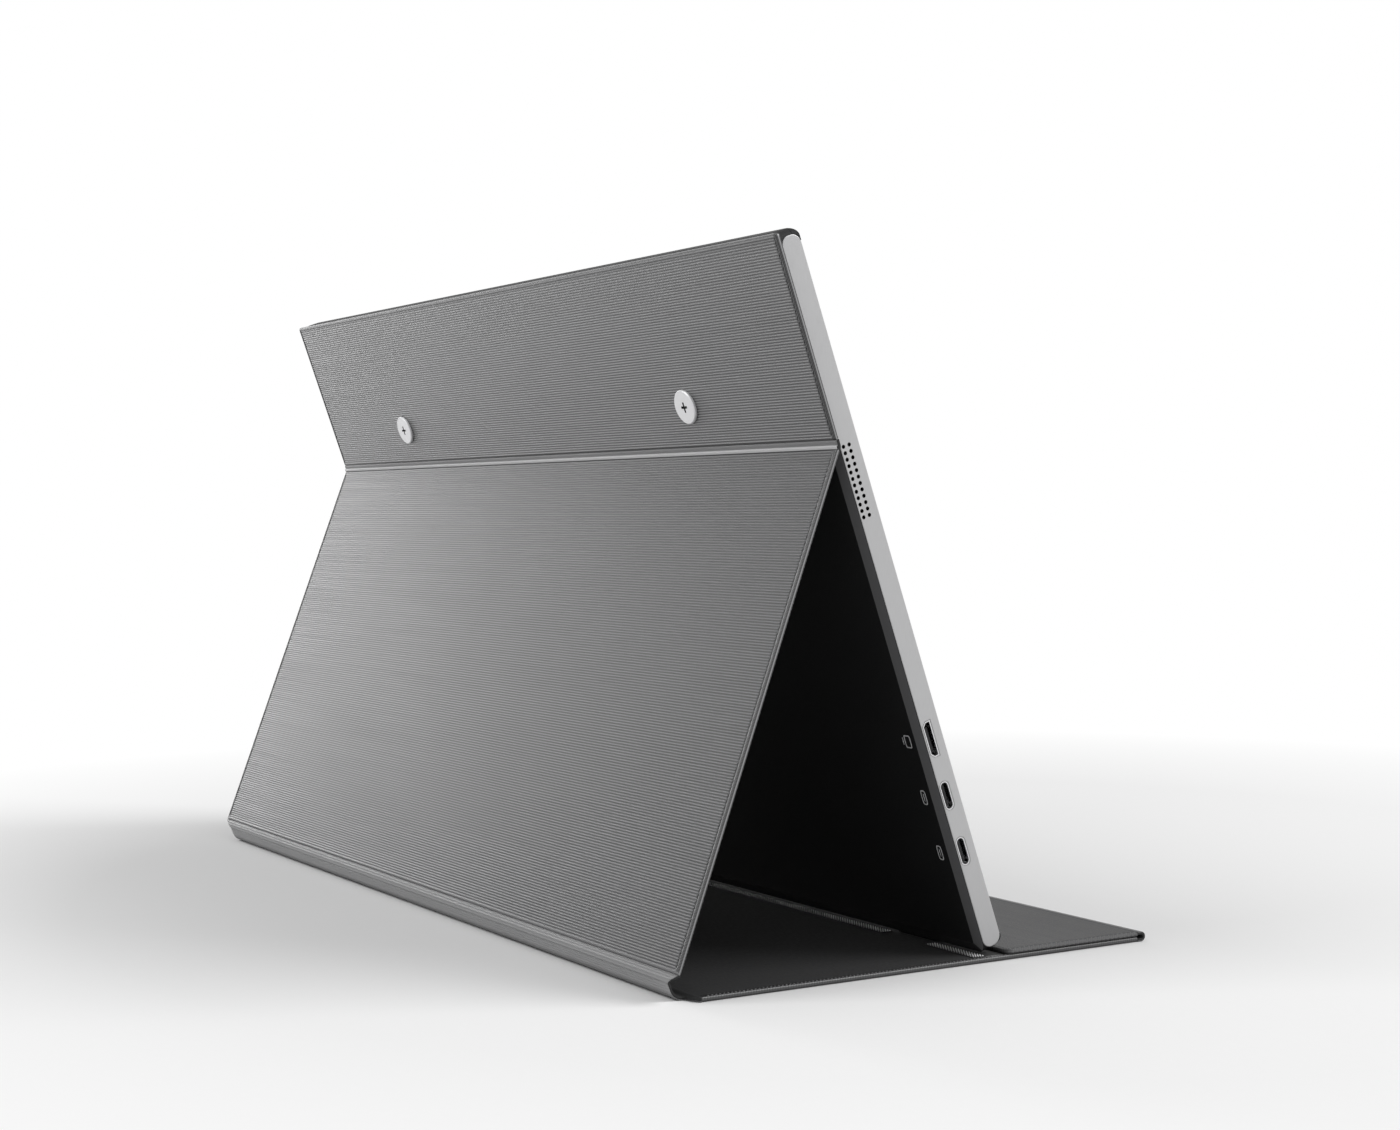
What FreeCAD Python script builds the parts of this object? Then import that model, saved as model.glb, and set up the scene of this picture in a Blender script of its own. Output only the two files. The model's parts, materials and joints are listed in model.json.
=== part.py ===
import FreeCAD, Part
import math
import os

# Monitor body: a slim slab that leans back on its folding cover
LEAN_DEG = 19.7
SHELL_WALL = 1.2
EDGE_WALL = 1.6
CHAMFER_WIDTH = 3.3
CHAMFER_DEPTH = 0.9
FRONT_ROUND = 3.0
OUTLINE_ROUND = 3.0
PARTING_GAP = 0.1
TOP_BORDER = 5.0

# Light side rails
RAIL_THICKNESS = 2.2
RAIL_BOTTOM_INSET = 0.9
RAIL_TOP_INSET = 2.0
RAIL_END_ROUND = 3.0
RAIL_EDGE_BREAK = 0.35
RAIL_CLEARANCE = 0.05
RAIL_TAB_REACH = 6.0
RAIL_TAB_WIDTH = 8.0
RAIL_TAB_THICKNESS = 0.8
RAIL_TAB_LOW_UP = 12.0
RAIL_TAB_BELOW_TOP = 25.5

# Sockets and controls share one line along each rail
LOWER_PORT_UP = 32.8
PORT_PITCH = 18.2
CUTOUT_CLEARANCE = 0.1
CUTOUT_BEVEL = 0.2
SOCKET_WALL = 0.3
SOCKET_DEPTH = 7.4
SOCKET_SETBACK = 0.1
USB_LENGTH = 8.94
USB_HEIGHT = 3.2
USB_TONGUE_LENGTH = 6.6
USB_TONGUE_HEIGHT = 0.7
VIDEO_LENGTH = 11.2
VIDEO_HEIGHT = 3.0
VIDEO_CHAMFER = 1.2
VIDEO_TONGUE_LENGTH = 7.6
VIDEO_TONGUE_HEIGHT = 0.8
TONGUE_SETBACK = 0.9
JACK_BORE_RADIUS = 1.8
JACK_BORE_DEPTH = 12.5
JACK_BACK_WALL = 1.5
JACK_SIDE_WALL = 1.4
JACK_WALL = 0.25
JACK_GAP = 0.15

# Speaker grilles, drilled straight through the rails
GRILLE_BELOW_TOP = 75.2
GRILLE_COLUMNS = 12
GRILLE_ROWS = 2
GRILLE_PITCH = 1.96
GRILLE_ROW_PITCH = 2.14
GRILLE_HOLE_RADIUS = 0.62
SPEAKER_LENGTH = 30.0
SPEAKER_WIDTH = 14.0
SPEAKER_GAP = 0.35
SPEAKER_SLOT_DEPTH = 2.5
SPEAKER_SLOT_LIP = 0.6
GASKET_THICKNESS = 0.6
GASKET_RIM = 0.9

# Side controls on the button rail
BUTTON_HEIGHT = 2.4
BUTTON_PROUD = 0.5
BUTTON_CLEARANCE = 0.15
POWER_LENGTH = 8.0
POWER_TRAVEL = 0.35
POWER_FLANGE_LIP = 0.5
POWER_FLANGE_THICKNESS = 0.6
FLANGE_GAP = 0.1
ROCKER_LENGTH = 16.0
ROCKER_END_CLEARANCE = 0.35
ROCKER_AXIS_INSET = 3.1
ROCKER_HUB_RADIUS = 0.95
ROCKER_STUB_RADIUS = 0.6
ROCKER_STUB_CLEARANCE = 0.05
ROCKER_SKIRT = 0.8
BRACKET_EAR = 0.5
BRACKET_REACH = 2.5
BRACKET_HALF_WIDTH = 1.6
SWITCH_WIDTH = 3.0
SWITCH_DEPTH = 2.4
SWITCH_HEIGHT = 2.0
SWITCH_PLUNGER_RADIUS = 0.6
SWITCH_PLUNGER_LENGTH = 0.3
SWITCH_REST_GAP = 0.15
SWITCH_END_INSET = 2.0

# Display module, from the front backwards
BEZEL_LIP = 0.7
SCREEN_WIDTH = 344.2
SCREEN_HEIGHT = 193.6
MODULE_SIDE_BORDER = 2.6
MODULE_LOW_BORDER = 7.9
MODULE_TOP_BORDER = 3.0
MODULE_CHIN = 16.0
BEZEL_SIDE_WALL = 0.85
MODULE_CLEARANCE = 0.2
CELL_CLEARANCE = 0.05
CELL_THICKNESS = 0.8
FILM_THICKNESS = 0.25
GUIDE_THICKNESS = 0.4
REFLECTOR_THICKNESS = 0.1
CHASSIS_PLATE = 0.2
CHASSIS_WALL = 0.8
FILM_CLEARANCE = 0.1
LED_STRIP_WIDTH = 2.0
CHIN_FLOOR = 1.0
CHIN_WALL = 2.6
CLIP_COUNT = 6
CLIP_WIDTH = 9.0
CLIP_THICKNESS = 0.7
CLIP_REACH = 1.4
CLIP_ROOT = 0.8

# Boards, ribbons and their fixings
BOARD_THICKNESS = 0.8
STANDOFF_HEIGHT = 0.4
STANDOFF_RADIUS = 2.2
BOARD_EDGE_GAP = 0.6
BOARD_WIDTH = 75.2
BOARD_BELOW_PORTS = 8.8
BOARD_ABOVE_PORTS = 26.8
BOARD_HOLE_INSET = 5.0
KEY_BOARD_WIDTH = 9.0
KEY_BOARD_BELOW_ROCKER = 3.0
KEY_BOARD_ABOVE_POWER = 4.8
SMALL_SCREW_RADIUS = 0.8
SMALL_SCREW_HEAD_RADIUS = 1.4
SMALL_SCREW_HEAD = 0.6
SMALL_SCREW_CLEARANCE = 0.05
SMALL_SCREW_TIP_DEPTH = 0.5
CHIP_SIZE = 14.0
CHIP_HEIGHT = 1.2
PAD_HEIGHT = 0.4
CAN_SIZE = 30.0
CAN_SHEET = 0.2
CAN_INSET = 38.0
CAN_RISE = 22.0
RIBBON_THICKNESS = 0.15
RIBBON_WIDTH = 16.0
RIBBON_INSET = 10.0
RIBBON_SOCKET_RISE = 26.0
RIBBON_SOCKET_WIDTH = 4.0
DRIVER_SOCKET_HEIGHT = 0.95
DRIVER_BOARD_MARGIN = 2.0
DRIVER_BOARD_HEIGHT = 8.0
DRIVER_BOARD_THICKNESS = 0.6
DRIVER_BOARD_INSET = 1.0
FLEX_WIDTH = 3.0
KEY_RIBBON_WIDTH = 8.0
KEY_RIBBON_RISE = 20.0
FLEX_BOARD_GAP = 2.0
FLEX_LAP = 4.0
SPEAKER_FLEX_INSET = 11.0

# Magnets that hold the folded panels shut
MAGNET_X = 120.0
MAGNET_UP = 16.0
MAGNET_LENGTH = 24.0
MAGNET_WIDTH = 8.0
SHELL_MAGNET_THICKNESS = 1.0
FLAP_MAGNET_INSET = 9.0

# Feet under the lower edge
FOOT_END_INSET = 34.0
FOOT_LENGTH = 20.0
FOOT_HEIGHT = 0.65
FOOT_SEAT = 0.6
FOOT_REAR_DEPTH = 1.3
FOOT_FRONT_DEPTH = 4.4
FOOT_GAP = 0.1
FOOT_SEAT_CLEARANCE = 0.05

# Folding cover: stiffened panels, each a skin round a board and a lining
COVER_OVERHANG = 3.0
SKIN_THICKNESS = 0.5
STIFFENER_THICKNESS = 0.6
LINING_THICKNESS = 0.4
PANEL_LIP = 0.6
PANEL_CORNER = 1.2
STITCH_INSET = 2.2
STITCH_GROOVE = 0.7
STITCH_DEPTH = 0.2
TAPE_THICKNESS = 0.3
TAPE_INSET = 4.0
CREASE_BELOW_TOP = 63.4
LEG_EXTRA_LEAN_DEG = 0.48
HEM_WEB = 2.2
FOLD_GAP = 0.2
SPINE_RADIUS = 4.4
SPINE_LINING = 0.5
SPINE_LEAN_DEG = 22.0
SPINE_SEAM_UP = 6.2
SCOOP_RADIUS = 6.0
SCOOP_DEPTH = 5.5
SCOOP_UP = 3.4
SCOOP_LENGTH = 14.0
FRONT_REACH = 63.2
FLAP_GAP = 0.1
FLAP_SWING_GAP = 0.15
ROLL_CLEARANCE = 0.15
ROLL_THICKNESS = 0.5

# Grip strips on the base, left open where the feet stand
GRIP_THICKNESS = 0.5
GRIP_WIDTH = 5.0
GRIP_BEHIND = 0.1
GRIP_END_INSET = 1.5
GRIP_FOOT_GAP = 1.0
GRIP_CORNER = 0.3

# Cover screws and their threaded inserts
COVER_SCREW_X = 106.9
COVER_SCREW_RISE = 15.7
COVER_SCREW_HEAD_RADIUS = 5.6
COVER_SCREW_HEAD = 0.9
COVER_SCREW_EDGE = 0.3
COVER_SCREW_RADIUS = 1.45
COVER_SCREW_HOLE_RADIUS = 1.7
COVER_SCREW_TIP_GAP = 0.3
CROSS_LENGTH = 3.4
CROSS_WIDTH = 0.8
CROSS_DEPTH = 0.5
INSERT_RADIUS = 2.1
INSERT_BORE_RADIUS = 1.5
INSERT_START = 0.2
INSERT_END_GAP = 0.3
INSERT_CLEARANCE = 0.03
BOSS_RADIUS = 3.6
BOSS_END_GAP = 1.0

# How far a cutter runs past the face it opens, and the match for equal places
CUT_PAST = 1.0
SAME_PLACE = 1e-6

# Largest corner radius, as a share of the side that it rounds
ROUND_LIMIT = 0.49

# Sides of the small round holes, pins and standoffs that repeat
SMALL_ROUND_SIDES = 12

# Sizes that follow from the ones above
LEAN = math.radians(LEAN_DEG)
MODULE_WIDTH = SCREEN_WIDTH + 2 * MODULE_SIDE_BORDER
MODULE_HEIGHT = MODULE_LOW_BORDER + SCREEN_HEIGHT + MODULE_TOP_BORDER
MODULE_THICKNESS = CELL_THICKNESS + FILM_THICKNESS + GUIDE_THICKNESS + REFLECTOR_THICKNESS + CHASSIS_PLATE
SIDE_BORDER = MODULE_CLEARANCE + BEZEL_SIDE_WALL + RAIL_CLEARANCE + RAIL_THICKNESS
ELECTRONICS_DEPTH = 2 * (JACK_BORE_RADIUS + JACK_WALL + JACK_GAP)
MONITOR_WIDTH = MODULE_WIDTH + 2 * SIDE_BORDER
MONITOR_HEIGHT = MODULE_CHIN + MODULE_HEIGHT + TOP_BORDER
MONITOR_DEPTH = SHELL_WALL + ELECTRONICS_DEPTH + MODULE_THICKNESS + CELL_CLEARANCE + BEZEL_LIP
HALF_WIDTH = MONITOR_WIDTH / 2
FRONT = -MONITOR_DEPTH
SIDE_LINE = -SHELL_WALL - ELECTRONICS_DEPTH / 2
MIDDLE_PORT_UP = LOWER_PORT_UP + PORT_PITCH
UPPER_PORT_UP = MIDDLE_PORT_UP + PORT_PITCH
GRILLE_MIDDLE_UP = MONITOR_HEIGHT - GRILLE_BELOW_TOP
RAIL_TAB_HIGH_UP = MONITOR_HEIGHT - RAIL_TAB_BELOW_TOP
CREASE_UP = MONITOR_HEIGHT - CREASE_BELOW_TOP
COVER_SCREW_UP = CREASE_UP + COVER_SCREW_RISE
FOOT_X = HALF_WIDTH - FOOT_END_INSET
RAIL_INNER = HALF_WIDTH - RAIL_THICKNESS
RAIL_TOP = MONITOR_HEIGHT - RAIL_TOP_INSET
PANEL_THICKNESS = SKIN_THICKNESS + STIFFENER_THICKNESS + LINING_THICKNESS
COVER_WIDTH = MONITOR_WIDTH + 2 * COVER_OVERHANG
HALF_COVER = COVER_WIDTH / 2
HEM_RADIUS = PANEL_THICKNESS / 2
SPINE_THICKNESS = SKIN_THICKNESS + SPINE_LINING
SPINE_MIDDLE_RADIUS = SPINE_RADIUS - SPINE_THICKNESS / 2
ROLL_RADIUS = PANEL_THICKNESS + FLAP_GAP / 2
MODULE_LOW = MODULE_CHIN
MODULE_HIGH = MODULE_LOW + MODULE_HEIGHT
SCREEN_CHIN = MODULE_LOW + MODULE_LOW_BORDER
CELL_FRONT = FRONT + BEZEL_LIP + CELL_CLEARANCE
FILM_FRONT = CELL_FRONT + CELL_THICKNESS
GUIDE_FRONT = FILM_FRONT + FILM_THICKNESS
REFLECTOR_FRONT = GUIDE_FRONT + GUIDE_THICKNESS
CHASSIS_FRONT = REFLECTOR_FRONT + REFLECTOR_THICKNESS
CHASSIS_REAR = CHASSIS_FRONT + CHASSIS_PLATE
PARTING = CHASSIS_REAR - PARTING_GAP
SHELL_FLOOR = -SHELL_WALL
BOARD_REAR = SHELL_FLOOR - STANDOFF_HEIGHT
BOARD_FRONT = BOARD_REAR - BOARD_THICKNESS
BOARD_OUTER_X = RAIL_INNER - BOARD_EDGE_GAP
BOARD_INNER_X = BOARD_OUTER_X - BOARD_WIDTH
BOARD_LOW_UP = LOWER_PORT_UP - BOARD_BELOW_PORTS
BOARD_HIGH_UP = UPPER_PORT_UP + BOARD_ABOVE_PORTS
CAN_X = BOARD_INNER_X + CAN_INSET
CAN_UP = BOARD_LOW_UP + CAN_RISE
RIBBON_X = BOARD_INNER_X + RIBBON_INSET
RIBBON_SOCKET_UP = BOARD_LOW_UP + RIBBON_SOCKET_RISE
DRIVER_BOARD_REAR = CHASSIS_REAR + DRIVER_BOARD_THICKNESS
RIBBON_FRONT = DRIVER_BOARD_REAR + DRIVER_SOCKET_HEIGHT
RIBBON_REAR = RIBBON_FRONT + RIBBON_THICKNESS
DRIVER_BOARD_HALF = RIBBON_X + RIBBON_WIDTH / 2 + DRIVER_BOARD_MARGIN
KEY_BOARD_OUTER_X = RAIL_INNER - BRACKET_REACH
KEY_BOARD_INNER_X = KEY_BOARD_OUTER_X - KEY_BOARD_WIDTH
KEY_BOARD_LOW_UP = MIDDLE_PORT_UP - ROCKER_LENGTH / 2 - KEY_BOARD_BELOW_ROCKER
KEY_BOARD_HIGH_UP = UPPER_PORT_UP + POWER_LENGTH / 2 + KEY_BOARD_ABOVE_POWER
KEY_RIBBON_UP = KEY_BOARD_LOW_UP + KEY_RIBBON_RISE
ROCKER_SWITCH_OFFSET = ROCKER_LENGTH / 2 - SWITCH_END_INSET
SWITCH_GAP = POWER_TRAVEL + SWITCH_REST_GAP
SPEAKER_OUTER_X = RAIL_INNER - GASKET_THICKNESS
SPEAKER_INNER_X = SPEAKER_OUTER_X - SPEAKER_WIDTH
SPEAKER_REAR = SHELL_FLOOR - SPEAKER_GAP
SPEAKER_FRONT = CHASSIS_REAR + SPEAKER_GAP
SPEAKER_FLEX_UP = KEY_BOARD_HIGH_UP + FLEX_BOARD_GAP
BOSS_TIP = CHASSIS_REAR + BOSS_END_GAP
INSERT_TIP = BOSS_TIP + INSERT_END_GAP
COVER_SCREW_TIP = INSERT_TIP + COVER_SCREW_TIP_GAP

# Where the slab stands: its lower rear edge rides one foot height over the base
MONITOR_Z = PANEL_THICKNESS + FOOT_HEIGHT - CHAMFER_DEPTH * math.sin(LEAN)


def monitor_point(depth, up):
    """Row y and z of a point of the slab, before the row is centred."""
    y = up * math.sin(LEAN) + depth * math.cos(LEAN)
    z = MONITOR_Z + up * math.cos(LEAN) - depth * math.sin(LEAN)
    return y, z


# The closed triangle: crease, leg, spine and base
CREASE_DEPTH = TAPE_THICKNESS + PANEL_THICKNESS / 2
CREASE_Y, CREASE_Z = monitor_point(CREASE_DEPTH, CREASE_UP)
SPINE_LEAN = math.radians(SPINE_LEAN_DEG)
SPINE_BEND_UP = SPINE_RADIUS - SPINE_MIDDLE_RADIUS * math.sin(SPINE_LEAN)
SPINE_RISE = (SPINE_SEAM_UP - SPINE_BEND_UP) / math.cos(SPINE_LEAN)
LEG_LEAN_DEG = LEAN_DEG + LEG_EXTRA_LEAN_DEG
LEG_LEAN = math.radians(LEG_LEAN_DEG)
LEG_LENGTH = (CREASE_Z - SPINE_SEAM_UP) / math.cos(LEG_LEAN)
LEG_SEAM_Y = CREASE_Y + LEG_LENGTH * math.sin(LEG_LEAN)
SPINE_Y = LEG_SEAM_Y - SPINE_MIDDLE_RADIUS * math.cos(SPINE_LEAN) - SPINE_RISE * math.sin(SPINE_LEAN)
BASE_SEAM_Y = SPINE_Y - HEM_RADIUS - FOLD_GAP
BASE_SEAM_Z = PANEL_THICKNESS / 2
ROLL_Y = ROLL_RADIUS - FRONT_REACH
ROLL_Z = ROLL_RADIUS
PANEL_FRONT_Y = ROLL_Y + ROLL_RADIUS + ROLL_CLEARANCE
FRONT_EDGE_Y = monitor_point(FRONT + FRONT_ROUND, FRONT_ROUND)[0] - FRONT_ROUND
FLAP_REAR_Y = FRONT_EDGE_Y - FLAP_SWING_GAP
ROW_SHIFT = (FRONT_REACH - LEG_SEAM_Y - HEM_RADIUS) / 2
ROCKER_X = HALF_WIDTH - ROCKER_AXIS_INSET


def vec(x, y, z):
    """Point or direction in millimetres."""
    return FreeCAD.Vector(x, y, z)


def box(x0, x1, y0, y1, z0, z1):
    """Block between two corners, given in any order."""
    low = vec(min(x0, x1), min(y0, y1), min(z0, z1))
    return Part.makeBox(abs(x1 - x0), abs(y1 - y0), abs(z1 - z0), low)


def rod(radius, start, along):
    """Round bar from a start point along a vector."""
    return Part.makeCylinder(radius, along.Length, start, along)


def line(start, end):
    """Straight edge between two points."""
    return Part.LineSegment(start, end).toShape()


def arc(start, middle, end):
    """Round edge through three points."""
    return Part.Arc(start, middle, end).toShape()


def polygon_prism(points, along):
    """Straight-sided outline carried along a vector."""
    return Part.Face(Part.makePolygon(points + points[:1])).extrude(along)


def small_rod(radius, start, along):
    """Many-sided bar for the small rounds that repeat, along X or Y."""
    points = []
    for index in range(SMALL_ROUND_SIDES):
        turn = FreeCAD.Rotation(along, 360.0 * index / SMALL_ROUND_SIDES)
        points.append(start + turn.multVec(vec(0, 0, radius)))
    return polygon_prism(points, along)


def edge_prism(edges, along):
    """Outline of lines and arcs carried along a vector."""
    return Part.Face(Part.Wire(edges)).extrude(along)


def rounded_edges(a0, a1, b0, b1, radius, point):
    """Lines and arcs of a rounded rectangle; point turns a pair into a vector."""
    radius = min(radius, ROUND_LIMIT * min(a1 - a0, b1 - b0))
    middle = radius * (1 - math.sqrt(0.5))
    return [
        line(point(a0 + radius, b0), point(a1 - radius, b0)),
        arc(point(a1 - radius, b0), point(a1 - middle, b0 + middle), point(a1, b0 + radius)),
        line(point(a1, b0 + radius), point(a1, b1 - radius)),
        arc(point(a1, b1 - radius), point(a1 - middle, b1 - middle), point(a1 - radius, b1)),
        line(point(a1 - radius, b1), point(a0 + radius, b1)),
        arc(point(a0 + radius, b1), point(a0 + middle, b1 - middle), point(a0, b1 - radius)),
        line(point(a0, b1 - radius), point(a0, b0 + radius)),
        arc(point(a0, b0 + radius), point(a0 + middle, b0 + middle), point(a0 + radius, b0)),
    ]


def rounded_plate(x0, x1, y0, y1, z0, z1, radius):
    """Plate facing Y with its four corners rounded."""
    edges = rounded_edges(x0, x1, z0, z1, radius, lambda a, b: vec(a, y0, b))
    return edge_prism(edges, vec(0, y1 - y0, 0))


def pill(x0, x1, up, length, height):
    """Round-ended bar across a rail, long way up the side line."""
    half = height / 2
    straight = length / 2 - half
    edges = [
        line(vec(x0, SIDE_LINE - half, up - straight), vec(x0, SIDE_LINE - half, up + straight)),
        arc(vec(x0, SIDE_LINE - half, up + straight), vec(x0, SIDE_LINE, up + length / 2),
            vec(x0, SIDE_LINE + half, up + straight)),
        line(vec(x0, SIDE_LINE + half, up + straight), vec(x0, SIDE_LINE + half, up - straight)),
        arc(vec(x0, SIDE_LINE + half, up - straight), vec(x0, SIDE_LINE, up - length / 2),
            vec(x0, SIDE_LINE - half, up - straight)),
    ]
    return edge_prism(edges, vec(x1 - x0, 0, 0))


def video_prism(x0, x1, grow):
    """Wide-fronted outline with two cut rear corners, grown or shrunk evenly."""
    half = VIDEO_LENGTH / 2 + grow
    front = SIDE_LINE - VIDEO_HEIGHT / 2 - grow
    rear = SIDE_LINE + VIDEO_HEIGHT / 2 + grow
    cut = VIDEO_CHAMFER + grow * (2 - math.sqrt(2))
    points = [
        vec(x0, front, UPPER_PORT_UP - half),
        vec(x0, front, UPPER_PORT_UP + half),
        vec(x0, rear - cut, UPPER_PORT_UP + half),
        vec(x0, rear, UPPER_PORT_UP + half - cut),
        vec(x0, rear, UPPER_PORT_UP - half + cut),
        vec(x0, rear - cut, UPPER_PORT_UP - half),
    ]
    return polygon_prism(points, vec(x1 - x0, 0, 0))


def place(shape, turn_deg, y, z):
    """Turn a shape about X and set its local origin in the centred row."""
    turn = FreeCAD.Rotation(vec(1, 0, 0), turn_deg)
    moved = shape.copy()
    moved.Placement = FreeCAD.Placement(vec(0, y + ROW_SHIFT, z), turn).multiply(shape.Placement)
    return moved


def on_monitor(shape):
    """Set a shape drawn in the slab's own frame: X across, Y backwards, Z up."""
    return place(shape, -LEAN_DEG, 0, MONITOR_Z)


def on_leg(shape):
    """Set a shape drawn with the crease at the origin and the leg below it."""
    return place(shape, LEG_LEAN_DEG, CREASE_Y, CREASE_Z)


def slab_outline():
    """Outer form of the closed slab: chamfered rear, rounded front edges and corners."""
    middle = FRONT_ROUND * (1 - math.sqrt(0.5))
    top = MONITOR_HEIGHT
    side = edge_prism([
        line(vec(-HALF_WIDTH, 0, CHAMFER_WIDTH), vec(-HALF_WIDTH, 0, top - CHAMFER_WIDTH)),
        line(vec(-HALF_WIDTH, 0, top - CHAMFER_WIDTH), vec(-HALF_WIDTH, -CHAMFER_DEPTH, top)),
        line(vec(-HALF_WIDTH, -CHAMFER_DEPTH, top), vec(-HALF_WIDTH, FRONT + FRONT_ROUND, top)),
        arc(vec(-HALF_WIDTH, FRONT + FRONT_ROUND, top),
            vec(-HALF_WIDTH, FRONT + middle, top - middle),
            vec(-HALF_WIDTH, FRONT, top - FRONT_ROUND)),
        line(vec(-HALF_WIDTH, FRONT, top - FRONT_ROUND), vec(-HALF_WIDTH, FRONT, FRONT_ROUND)),
        arc(vec(-HALF_WIDTH, FRONT, FRONT_ROUND),
            vec(-HALF_WIDTH, FRONT + middle, middle),
            vec(-HALF_WIDTH, FRONT + FRONT_ROUND, 0)),
        line(vec(-HALF_WIDTH, FRONT + FRONT_ROUND, 0), vec(-HALF_WIDTH, -CHAMFER_DEPTH, 0)),
        line(vec(-HALF_WIDTH, -CHAMFER_DEPTH, 0), vec(-HALF_WIDTH, 0, CHAMFER_WIDTH)),
    ], vec(MONITOR_WIDTH, 0, 0))
    plan = polygon_prism([
        vec(-HALF_WIDTH, FRONT, 0),
        vec(HALF_WIDTH, FRONT, 0),
        vec(HALF_WIDTH, -CHAMFER_DEPTH, 0),
        vec(HALF_WIDTH - CHAMFER_WIDTH, 0, 0),
        vec(-HALF_WIDTH + CHAMFER_WIDTH, 0, 0),
        vec(-HALF_WIDTH, -CHAMFER_DEPTH, 0),
    ], vec(0, 0, top))
    front = rounded_plate(-HALF_WIDTH, HALF_WIDTH, FRONT, 0, 0, top, OUTLINE_ROUND)
    return side.common(plan).common(front)


def rail_form(side, grow):
    """Round-ended bar of one side rail, or with grow the recess that takes it."""
    x0 = side * (RAIL_INNER - grow)
    edges = rounded_edges(FRONT - grow, SHELL_FLOOR + grow, RAIL_BOTTOM_INSET - grow, RAIL_TOP + grow,
                          RAIL_END_ROUND + grow, lambda a, b: vec(x0, a, b))
    return edge_prism(edges, vec(side * (RAIL_THICKNESS + 2 * grow), 0, 0))


def rail_tab_spots(side):
    """Middle of each rail tab, across and up."""
    middle = side * (RAIL_INNER - RAIL_TAB_REACH / 2)
    return [(middle, RAIL_TAB_LOW_UP), (middle, RAIL_TAB_HIGH_UP)]


def main_board_spots():
    """Screw places of the main board, across and up."""
    low = BOARD_LOW_UP + BOARD_HOLE_INSET
    high = BOARD_HIGH_UP - BOARD_HOLE_INSET
    outer = -BOARD_OUTER_X + BOARD_HOLE_INSET
    inner = -BOARD_INNER_X - BOARD_HOLE_INSET
    return [(outer, low - BOARD_HOLE_INSET / 2), (inner, low), (inner, high), (outer, high)]


def key_board_spots():
    """Screw places of the key board, across and up."""
    middle = KEY_BOARD_INNER_X + BOARD_HOLE_INSET / 2
    low = KEY_BOARD_LOW_UP + BOARD_HOLE_INSET / 2
    return [(middle, low), (middle, KEY_BOARD_HIGH_UP - BOARD_HOLE_INSET / 2)]


def cover_screw_spots():
    """Places of the two cover screws, across and up."""
    return [(-COVER_SCREW_X, COVER_SCREW_UP), (COVER_SCREW_X, COVER_SCREW_UP)]


def drill(shape, spots, radius, y0, y1):
    """Cut round holes along Y at the given places."""
    for x, up in spots:
        shape = shape.cut(small_rod(radius, vec(x, y0, up), vec(0, y1 - y0, 0)))
    return shape


def rear_shell(outline):
    """Dark tray that carries everything inside."""
    wide = HALF_WIDTH + RAIL_THICKNESS
    top = MONITOR_HEIGHT + CUT_PAST
    shell = outline.cut(box(-wide, wide, FRONT - CUT_PAST, PARTING, -CUT_PAST, top))
    shell = shell.cut(box(-RAIL_INNER, RAIL_INNER, PARTING, SHELL_FLOOR,
                          EDGE_WALL, MONITOR_HEIGHT - EDGE_WALL))
    for side in (-1, 1):
        shell = shell.cut(rail_form(side, RAIL_CLEARANCE))
    for x, up in main_board_spots() + key_board_spots():
        standoff = small_rod(STANDOFF_RADIUS, vec(x, SHELL_FLOOR, up), vec(0, -STANDOFF_HEIGHT, 0))
        shell = shell.fuse(standoff)
    for x, up in cover_screw_spots():
        shell = shell.fuse(rod(BOSS_RADIUS, vec(x, SHELL_FLOOR, up), vec(0, BOSS_TIP - SHELL_FLOOR, 0)))
    small = main_board_spots() + key_board_spots() + rail_tab_spots(-1) + rail_tab_spots(1)
    shell = drill(shell, small, SMALL_SCREW_RADIUS + SMALL_SCREW_CLEARANCE,
                  BOARD_REAR, -SMALL_SCREW_TIP_DEPTH)
    for x, up in cover_screw_spots():
        shell = shell.cut(rod(INSERT_RADIUS + INSERT_CLEARANCE, vec(x, BOSS_TIP, up), vec(0, -BOSS_TIP, 0)))
    for side in (-1, 1):
        reach = FOOT_LENGTH / 2 + FOOT_SEAT_CLEARANCE
        shell = shell.cut(box(side * FOOT_X - reach, side * FOOT_X + reach,
                              -FOOT_FRONT_DEPTH - FOOT_SEAT_CLEARANCE,
                              -FOOT_REAR_DEPTH + FOOT_SEAT_CLEARANCE, -CUT_PAST, FOOT_SEAT))
    return shell.removeSplitter()


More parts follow.
